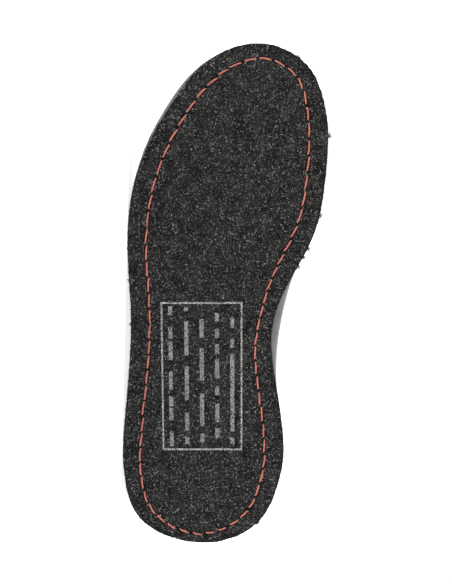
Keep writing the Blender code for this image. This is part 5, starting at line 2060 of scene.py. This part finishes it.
@dataclass
class Collar(Cuff):
    """Padded cuff round the ankle with a stitched channel."""

    core: float = 0.64
    columns: int = 210
    ring_points: int = 64
    channel_depth: float = 0.0017
    channel_rise: float = 0.078
    wrinkle_depth: float = 0.00035
    end_tuck: float = 0.0052
    # flattening and reach of the ends, as shares
    end_cap: Table = ((0.05, 0.3), (0.15, 0.6), (0.4, 0.85), (0.8, 1.0))
    # rise above the seam, depth from the inner face to the outer one
    profile: Table = (
        (0.004, 0.75), (0.022, 0.91), (0.070, 1.00), (0.112, 0.94), (0.139, 0.67), (0.141, 0.37),
        (0.122, 0.09), (0.070, 0.00), (0.022, 0.09), (0.004, 0.37),
    )

    def dress(self, workshop: Workshop) -> None:
        """Makes the cuff, from its outer end round the heel to its inner end."""
        last = self.last
        first, final = (last.turn_at(self.seam_level, side * self.start) for _, side in SIDES)
        turns = final + (first + 1.0 - final) * np.linspace(0.0, 1.0, self.columns)
        steps = np.arange(self.columns)
        ends = np.minimum(steps, steps[::-1]) * 28.0 / (self.columns - 1)
        fullness = ease(-1.5, 3.5, ends) * (0.35 + 0.65 * np.sqrt(np.clip(ends / 0.9, 0.0, 1.0)))
        waves = np.sin(turns * 150.0 + 2.0 * np.sin(turns * 31.0))
        places = np.linspace(0.0, len(self.profile), self.ring_points + 1)[:-1]
        section = SmoothCurve(self.profile, closed=True)(places)
        rings = []
        for rise, depth in section:
            outside = ease(0.45, 0.75, depth)
            channel = self.channel_depth * math.exp(-(((rise - self.channel_rise) / 0.0085) ** 2)) * outside
            wrinkle = self.wrinkle_depth * waves * outside * (1.0 - ease(0.09, 0.14, rise))
            lift = self.face(mix(self.core, depth, fullness)) - (channel + wrinkle) * fullness
            rings.append(last.lifted(turns, self.seam_level + rise, lift))
        grid = np.stack(rings, axis=1)
        caps = []
        for end, beside in ((0, 1), (-1, -2)):
            forward = unit((grid[end] - grid[beside]).mean(axis=0)) * self.end_tuck
            outward = last.outward(turns[end], self.seam_level)
            depth = ((grid[end] - grid[end].mean(axis=0)) @ outward)[:, None] * outward
            caps.append([grid[end] - depth * flat + forward * reach for flat, reach in self.end_cap])
        maker = MeshMaker()
        maker.rings(np.array([*caps[0][::-1], *grid, *caps[1]]), ends=True)
        finish = WovenFinish("collar_cloth", grey(0.050, 0.052), grey(0.018, 0.019), 2300.0)
        mesh = maker.mesh("collar_cuff", [finish.material(self.effects)], 75.0)
        workshop.piece(mesh, Finish.PADDING, ["collar"])


@dataclass
class PullLoop(Cuff):
    """Webbing loop over the back of the cuff."""

    width: float = 0.016
    thickness: float = 0.0016
    finger_gap: float = 0.018
    crown_rise: float = 0.139
    columns: int = 13
    samples: int = 90
    # rise above the seam and depth in the padding, down the outside and down the inside
    outside: Table = ((-0.040, 0.78), (-0.010, 0.84), (0.025, 1.00), (0.070, 1.045), (0.115, 1.015))
    inside: Table = ((0.115, 0.015), (0.080, -0.045), (0.035, -0.015))

    def route(self, y: float, turn_per_metre: float, crown: float) -> Array:
        """Points of the strap's middle layer at one distance across it.

        Args:
            y: The distance.
            turn_per_metre: Turns that a metre across the heel takes.
            crown: Height of the loop's top.

        Returns:
            Points (x, y, z).
        """
        clear = self.thickness / 2.0 + self.last.gap
        back, front = (
            [self.last.lifted(turn, self.seam_level + rise, self.face(depth) + lift) for rise, depth in rows]
            for turn, rows, lift in (
                (y * turn_per_metre, self.outside, clear), (y * turn_per_metre * 1.3, self.inside, -clear),
            )
        )
        centre, radius = (back[-1][0] + front[0][0]) / 2.0, (front[0][0] - back[-1][0]) / 2.0
        angles = math.pi - math.pi * np.arange(9) / 8.0
        arch = [(centre + radius * math.cos(a), y, crown - radius + radius * math.sin(a)) for a in angles]
        route = np.array([*back, *arch, *front])
        route[:, 1] = y
        return SmoothCurve(route).sampled(self.samples)

    def dress(self, workshop: Workshop) -> None:
        """Makes the loop."""
        turn_per_metre = 0.004 / abs(float(self.last.skin(0.004, self.seam_level)[1]))
        top = float(self.last.skin(0.0, self.seam_level + self.crown_rise)[2])
        crown = top + self.finger_gap + self.thickness
        shares = np.sin(np.linspace(-QUARTER_TURN, QUARTER_TURN, self.columns)) / 2.0
        layer = np.array([self.route(share * self.width, turn_per_metre, crown) for share in shares])
        legs = np.gradient(layer, axis=1)
        legs[..., 1] = 0.0
        legs = unit(legs)
        across = np.stack([legs[..., 2], 0.0 * legs[..., 0], -legs[..., 0]], axis=-1)
        edge = np.sqrt(np.clip(1.0 - (np.abs(shares) * 2.0) ** 8, 0.12, 1.0))[:, None, None]
        half = across * self.thickness / 2.0 * edge
        maker = MeshMaker()
        maker.shell(layer + half, layer - half)
        finish = WovenFinish("loop_webbing", grey(0.040, 0.042), grey(0.012, 0.013), 1050.0)
        mesh = maker.mesh("webbing_loop", [finish.material(self.effects)], 70.0)
        workshop.piece(mesh, Finish.WEBBING, ["pull_loop"])


@dataclass
class Tongue:
    """Padded tongue, full in the throat and thin under the facings."""

    last: Last
    throat: Throat
    effects: Effects
    thickness: float = 0.006
    thin: float = 0.0030
    overlap: float = 0.010
    foot_overlap: float = 0.035
    top_half_width: float = 0.034
    top_level: float = 1.13
    lean: float = 0.010
    quilt_depth: float = 0.0009
    quilt_pitch: float = 17.0
    crown: float = 0.0008
    rows: int = 120
    columns: int = 61

    def line(self, share: float) -> tuple[float, float, float]:
        """Level, half width and forward lean at a share of the tongue's height."""
        level = mix(self.last.throat[0][0] - self.foot_overlap, self.top_level, share)
        wide = self.last.throat_half_width(level) + self.overlap
        reach = mix(wide, self.top_half_width, ease(0.6, 1.0, share))
        corner = max(share - 0.87, 0.0) / 0.13
        return level, reach * math.sqrt(1.0 - 0.62 * corner**2), self.lean * ease(0.84, 1.08, share)

    def dress(self, workshop: Workshop) -> None:
        """Makes the tongue and the binding round it."""
        last = self.last
        outer_face = -(last.upper_wall + 2.0 * last.gap)
        across = np.sin(np.linspace(-QUARTER_TURN, QUARTER_TURN, self.columns))
        front, back = [], []
        for share in 1.0 - (1.0 - np.linspace(0.0, 1.0, self.rows)) ** 1.2:
            level, reach, flare = self.line(share)
            first, final = last.turn_at(level, reach), last.turn_at(level, -reach)
            turns = mix((first + final) / 2.0, final, across)
            offset = np.abs(across) * reach
            half = last.throat_half_width(max(level, self.throat.shoulder))
            under = ease(half - 0.003, half + 0.003, offset) * (1.0 - ease(0.985, 1.02, level))
            rim = np.sqrt(1.0 - np.clip(1.0 - (reach - offset) / 0.0030, 0.0, 1.0) ** 2)
            top_rim = math.sqrt(max(1.0 - max(1.0 - (1.0 - share) * 0.16 / 0.0040, 0.0) ** 2, 0.0))
            full = np.minimum(rim, top_rim)
            wave = ((level - 0.60) * 250.0 + 4.0) % self.quilt_pitch - self.quilt_pitch / 2.0
            quilt = self.quilt_depth * np.exp(-((wave / 1.7) ** 2)) * (1.0 - under)
            thick = mix(self.thickness, self.thin, under)
            middle = outer_face - self.thickness + thick / 2.0 - 0.0004 * under
            push = self.crown * np.sin(math.pi * np.clip(1.0 - offset / half, 0.0, 1.0) / 2.0) * (1.0 - under)
            front.append(last.lifted(turns, level, middle + flare + (thick / 2.0 + push - quilt) * full))
            back.append(last.lifted(turns, level, middle + flare - thick / 2.0 * full))
        maker = MeshMaker()
        maker.shell(np.array(front), np.array(back))
        finish = WovenFinish("tongue_cloth", grey(0.052, 0.054), grey(0.018, 0.019), 2300.0)
        mesh = maker.mesh("tongue_pad", [finish.material(self.effects)], 75.0)
        workshop.piece(mesh, Finish.PADDING, ["tongue"])


@dataclass
class Lace:
    """Round braided lace that runs through the eyelets and stops at the top pair."""

    surface: WornSurface
    throat: Throat
    effects: Effects
    radius: float = 0.0018
    under_lift: float = -0.0043
    over_lift: float = 0.0040
    throat_lift: float = -0.0008
    hump: float = 0.0036
    hole_lift: float = 0.0016
    hole_depth: float = -0.0020
    level_step: float = 0.007
    spacing: float = 0.0006
    braid_turn: float = 0.0052
    tip_rows: int = 16

    def half_route(self, side: float, hump: float) -> list[tuple[float, float, float]]:
        """Points (reach, level, lift) of one lace end, from the middle of the lowest bar.

        Args:
            side: 1 where the end first goes to the inner side.
            hump: Extra lift where it passes over the other end.

        Returns:
            The points in order.
        """
        levels, step = self.throat.eyelet_levels, self.level_step
        over, under, across, low = self.over_lift, self.under_lift, self.throat_lift, levels[0]
        edge = self.surface.last.throat_half_width(low)
        holes = [self.surface.last.throat_half_width(level) + self.throat.eyelet_inset for level in levels]
        route = [
            (0.0, low, across + 0.0030), (side * edge * 0.6, low, across + 0.0036),
            (side * (edge + 0.0006), low, over), (side * (holes[0] - 0.0022), low, over + 0.0010),
            (side * holes[0], low, self.hole_lift),
            (side * (holes[0] + 0.0002), low + 0.001, self.hole_depth),
            (side * (holes[0] - 0.0012), low + 0.004, under),
        ]
        for i, (low, high) in enumerate(zip(levels[:-1], levels[1:])):
            start, end = side * holes[i], -side * holes[i + 1]
            if i:
                route += [(start, low, 0.0020), (start - side * 0.0016, low + step * 0.3, over + 0.0012)]
            route.append((mix(start, end, 0.17), mix(low, high, 0.17), over if i else under))
            for share, lifted in ((0.28, 0.0), (0.42, 0.35), (0.5, 1.0), (0.58, 0.35), (0.72, 0.0)):
                entering = under * 0.55 * ease(0.5, 0.8, share)
                leaving = (0.0012 if i else under * 0.55) * (1.0 - ease(0.2, 0.5, share))
                crossing = hump * lifted * (1.0 if i % 2 else -1.0) * 0.5 + self.hump * 0.5 * lifted
                lift = across + entering + leaving + crossing
                route.append((mix(start, end, share), mix(low, high, share), lift))
            route += [
                (mix(start, end, 0.84), mix(low, high, 0.86), under),
                (end + side * 0.0020, high - step * 0.35, under + 0.0002),
                (end - side * 0.0001, high - 0.001, self.hole_depth),
            ]
            side = -side
        run_out = [
            (0.0, 0.0, self.hole_lift), (0.0006, 0.004, 0.0046), (0.0016, 0.018, 0.0052),
            (0.0024, 0.036, 0.0042),
        ]
        end, top = side * holes[-1], levels[-1]
        return route + [(end + side * reach, top + rise, lift) for reach, rise, lift in run_out]

    def dress(self, workshop: Workshop) -> None:
        """Makes the lace and its tips."""
        last = self.surface.last
        route = self.half_route(1.0, self.hump)[::-1] + self.half_route(-1.0, -self.hump)[1:]
        points = [self.surface.at(last.turn_at(level, reach), level, lift) for reach, level, lift in route]
        fine = SmoothCurve(points).sampled(1500)
        arc = arc_lengths(fine)
        LOG.info("lace: %.0f mm long", arc[-1] / MILLIMETRE)
        spine = rows_at(np.linspace(0.0, arc[-1], int(arc[-1] / self.spacing)), arc, fine)
        for _ in range(2):
            spine[1:-1] = (spine[:-2] + 2.0 * spine[1:-1] + spine[2:]) / 4.0
        maker = MeshMaker()
        maker.tube(spine, self.radius, 16, twist=arc[-1] / self.braid_turn, plies=8, relief=0.10)
        for part in (spine[:self.tip_rows], spine[-self.tip_rows:]):
            maker.tube(part, self.radius * 1.02, 14, kind=1)
        finishes = [BraidFinish(), MetalFinish("lace_tip", grey(0.03), metallic=0.0, roughness=0.35)]
        mesh = maker.mesh("lace_cord", [finish.material(self.effects) for finish in finishes])
        workshop.piece(mesh, Finish.CORD, ["lace"])


@dataclass
class Upper:
    """Wall, rubber overlays, facings and the stitching that holds them."""

    last: Last
    effects: Effects
    stay_edge: float = 0.0385
    # along and height of the overlays' cut lines, as shares
    toe_line: Table = (
        (0.455, 0.060), (0.475, 0.105), (0.560, 0.135), (0.660, 0.160), (0.740, 0.205), (0.800, 0.290),
        (0.835, 0.420), (0.850, 0.600),
    )
    heel_line: Table = (
        (0.330, 0.060), (0.318, 0.110), (0.270, 0.200), (0.200, 0.330), (0.120, 0.455), (0.050, 0.520),
        (-0.060, 0.540),
    )
    # turn and level of the quarter's front edge on the inner side
    quarter_line: Table = (
        (0.2480, 0.100), (0.2560, 0.180), (0.2740, 0.280), (0.3030, 0.370), (0.3430, 0.440), (0.3850, 0.490),
        (0.4080, 0.520),
    )

    def ends(self, along: float) -> tuple[float, float]:
        """Turns, on the inner and the outer side, where the upper's foot reaches a share of the length."""
        wanted, level = along * self.last.sole_length, 0.05
        inner, outer = np.linspace(0.02, 0.5, 400), np.linspace(0.5, 0.98, 400)
        found = float(np.interp(wanted, self.last.skin(inner, level)[:, 0], inner))
        return found, float(np.interp(-wanted, -self.last.skin(outer, level)[:, 0], outer))

    def dress(self, workshop: Workshop) -> None:
        """Makes every piece of the upper."""
        surface, throat = WornSurface(self.last), Throat(self.last)
        seams = SeamMaker(surface)
        workshop.piece(UpperShell(surface, throat, self.effects).mesh(), Finish.NUBUCK, ["upper"])
        rubber = RubberFinish().material(self.effects)
        inner, outer = self.ends(self.toe_line[0][0] + 0.002)
        toe, heel = SideLine(self.last, self.toe_line, True), SideLine(self.last, self.heel_line, False)
        rand = Overlay(surface, toe, np.linspace(inner, outer, 260))
        inner, outer = self.ends(self.heel_line[0][0] - 0.002)
        counter = Overlay(surface, heel, np.linspace(outer - 1.0, inner, 200))
        for sheet, name in ((rand, "toe_rand"), (counter, "heel_counter")):
            workshop.piece(sheet.mesh(name + "_rubber", rubber), Finish.RUBBER, [name])
            sheet.sew(seams)
        Facings(surface, throat, self.effects).dress(workshop, seams)
        self.panel_seams(seams)
        Collar(self.last, self.effects).dress(workshop)
        Tongue(self.last, throat, self.effects).dress(workshop)
        Lace(surface, throat, self.effects).dress(workshop)
        PullLoop(self.last, self.effects).dress(workshop)
        thread = ThreadFinish("grey_thread", grey(0.17, 0.175), grey(0.08, 0.082))
        workshop.piece(seams.maker.mesh("upper_stitching", [thread.material()]), Finish.NUBUCK)
        edges = seams.edges.mesh("panel_edges", [bpy.data.materials["charcoal_nubuck"]])
        workshop.piece(edges, Finish.NUBUCK)

    def panel_seams(self, seams: SeamMaker) -> None:
        """Sews the rows that close the cuff, the quarters and the back strip."""
        edge, count = 0.852, 420
        inner, outer = (self.last.turn_at(edge, side * self.stay_edge) for _, side in SIDES)
        around = np.linspace(outer - 1.0, inner, count)
        for level in (0.846, 0.834):
            seams.row(around, np.full(count, level), 0.0005)
        seams.panel_edge(around, np.full(count, edge), -1.0)
        turns, levels = SmoothCurve(self.quarter_line).sampled(160).T
        for line, forward in ((turns, 1.0), (1.0 - turns, -1.0)):
            seams.panel_edge(line, levels, forward)
            for step in (0.0042, 0.0100):
                seams.row(line[2:-2] - forward * step, levels[2:-2], 0.0004)
        strip = np.linspace(0.50, 0.826, 90)
        for _, side in SIDES:
            turns = np.mod(side * (0.020 + 0.006 * (strip - 0.5)), 1.0)
            seams.panel_edge(turns, strip, -side)
            seams.row(turns - side * 0.003, strip, 0.0005)


# Stage


@dataclass
class Studio:
    """Pale floor, soft lights and the camera at the photograph's angle."""

    stand: Stand
    floor_radius: float = 14.0
    floor_glow: float = 0.74
    room_glow: float = 1.05
    lamp_size: float = 1.4
    camera_distance: float = 2.5
    sensor_height: float = 24.0
    # name, place in the row's frame, watts
    lamps: tuple = (
        ("key", (-0.9, -1.6, 1.5), 26.0), ("fill", (1.3, -1.2, 1.0), 14.0), ("back", (0.2, 1.6, 1.6), 18.0),
    )

    def link(self, name: str, data: bpy.types.ID) -> bpy.types.Object:
        """Puts an object into the scene."""
        made = bpy.data.objects.new(name, data)
        bpy.context.scene.collection.objects.link(made)
        return made

    def floor(self) -> None:
        """Lays a round pale floor under the boot."""
        sheet = MaterialSheet("pale_floor")
        material = sheet.finish({
            "Base Color": sheet.between(sheet.noise(sheet.place, 3.0), grey(0.86), grey(0.90)),
            "Roughness": 0.9,
            "Emission Color": grey(1.0),
            "Emission Strength": self.floor_glow,
        })
        shape = bmesh.new()
        bmesh.ops.create_circle(shape, cap_ends=True, segments=96, radius=self.floor_radius)
        mesh = bpy.data.meshes.new("floor")
        shape.to_mesh(mesh)
        shape.free()
        mesh.materials.append(material)
        self.link("floor", mesh)

    def light(self) -> None:
        """Surrounds the boot with even white light and adds soft square lamps."""
        world = bpy.data.worlds.new("white_room")
        world.use_nodes = True
        backdrop = world.node_tree.nodes["Background"].inputs
        backdrop["Color"].default_value = grey(1.0)
        backdrop["Strength"].default_value = self.room_glow
        bpy.context.scene.world = world
        aim = Vector((0.0, 0.0, 0.05))
        for name, place, watts in self.lamps:
            light = bpy.data.lights.new(name, "AREA")
            light.size = self.lamp_size
            light.energy = watts
            lamp = self.link(name, light)
            lamp.location = place
            lamp.rotation_euler = (aim - Vector(place)).to_track_quat("-Z", "Y").to_euler()

    def camera(self) -> None:
        """Sets the camera square to the sole, toe up as in the photograph."""
        middle = at_photo(PHOTO_WIDTH / 2.0, PHOTO_HEIGHT / 2.0)
        toeward, inner, up = self.stand.matrix.to_3x3().col
        lens = bpy.data.cameras.new("photo_view")
        lens.sensor_fit = "VERTICAL"
        lens.sensor_height = self.sensor_height
        lens.lens = self.sensor_height * self.camera_distance / (PHOTO_HEIGHT * METRES_PER_PIXEL)
        lens.clip_end = 60.0
        turned = Matrix((inner, toeward, -up)).transposed().to_4x4()
        turned.translation = self.stand.matrix @ Vector((*middle, -self.camera_distance))
        camera = self.link("photo_view", lens)
        camera.matrix_world = turned
        bpy.context.scene.camera = camera

    def build(self) -> None:
        """Sets up the whole studio."""
        self.floor()
        self.light()
        self.camera()
        bpy.context.scene.view_settings.view_transform = "Standard"


def main() -> None:
    """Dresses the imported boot, sub-assembly by sub-assembly."""
    logging.basicConfig(level=logging.INFO, format="%(message)s")
    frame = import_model()
    last = Last()
    stand = Stand.from_record(frame["record"], last)
    stand.mark()
    effects = Effects()
    Studio(stand).build()
    workshop = Workshop(stand)
    FeltOutsole(last, effects).dress(workshop)
    Midsole(last, effects).dress(workshop)
    Insole(last, effects).dress(workshop)
    Upper(last, effects).dress(workshop)


if __name__ == "__main__":
    main()
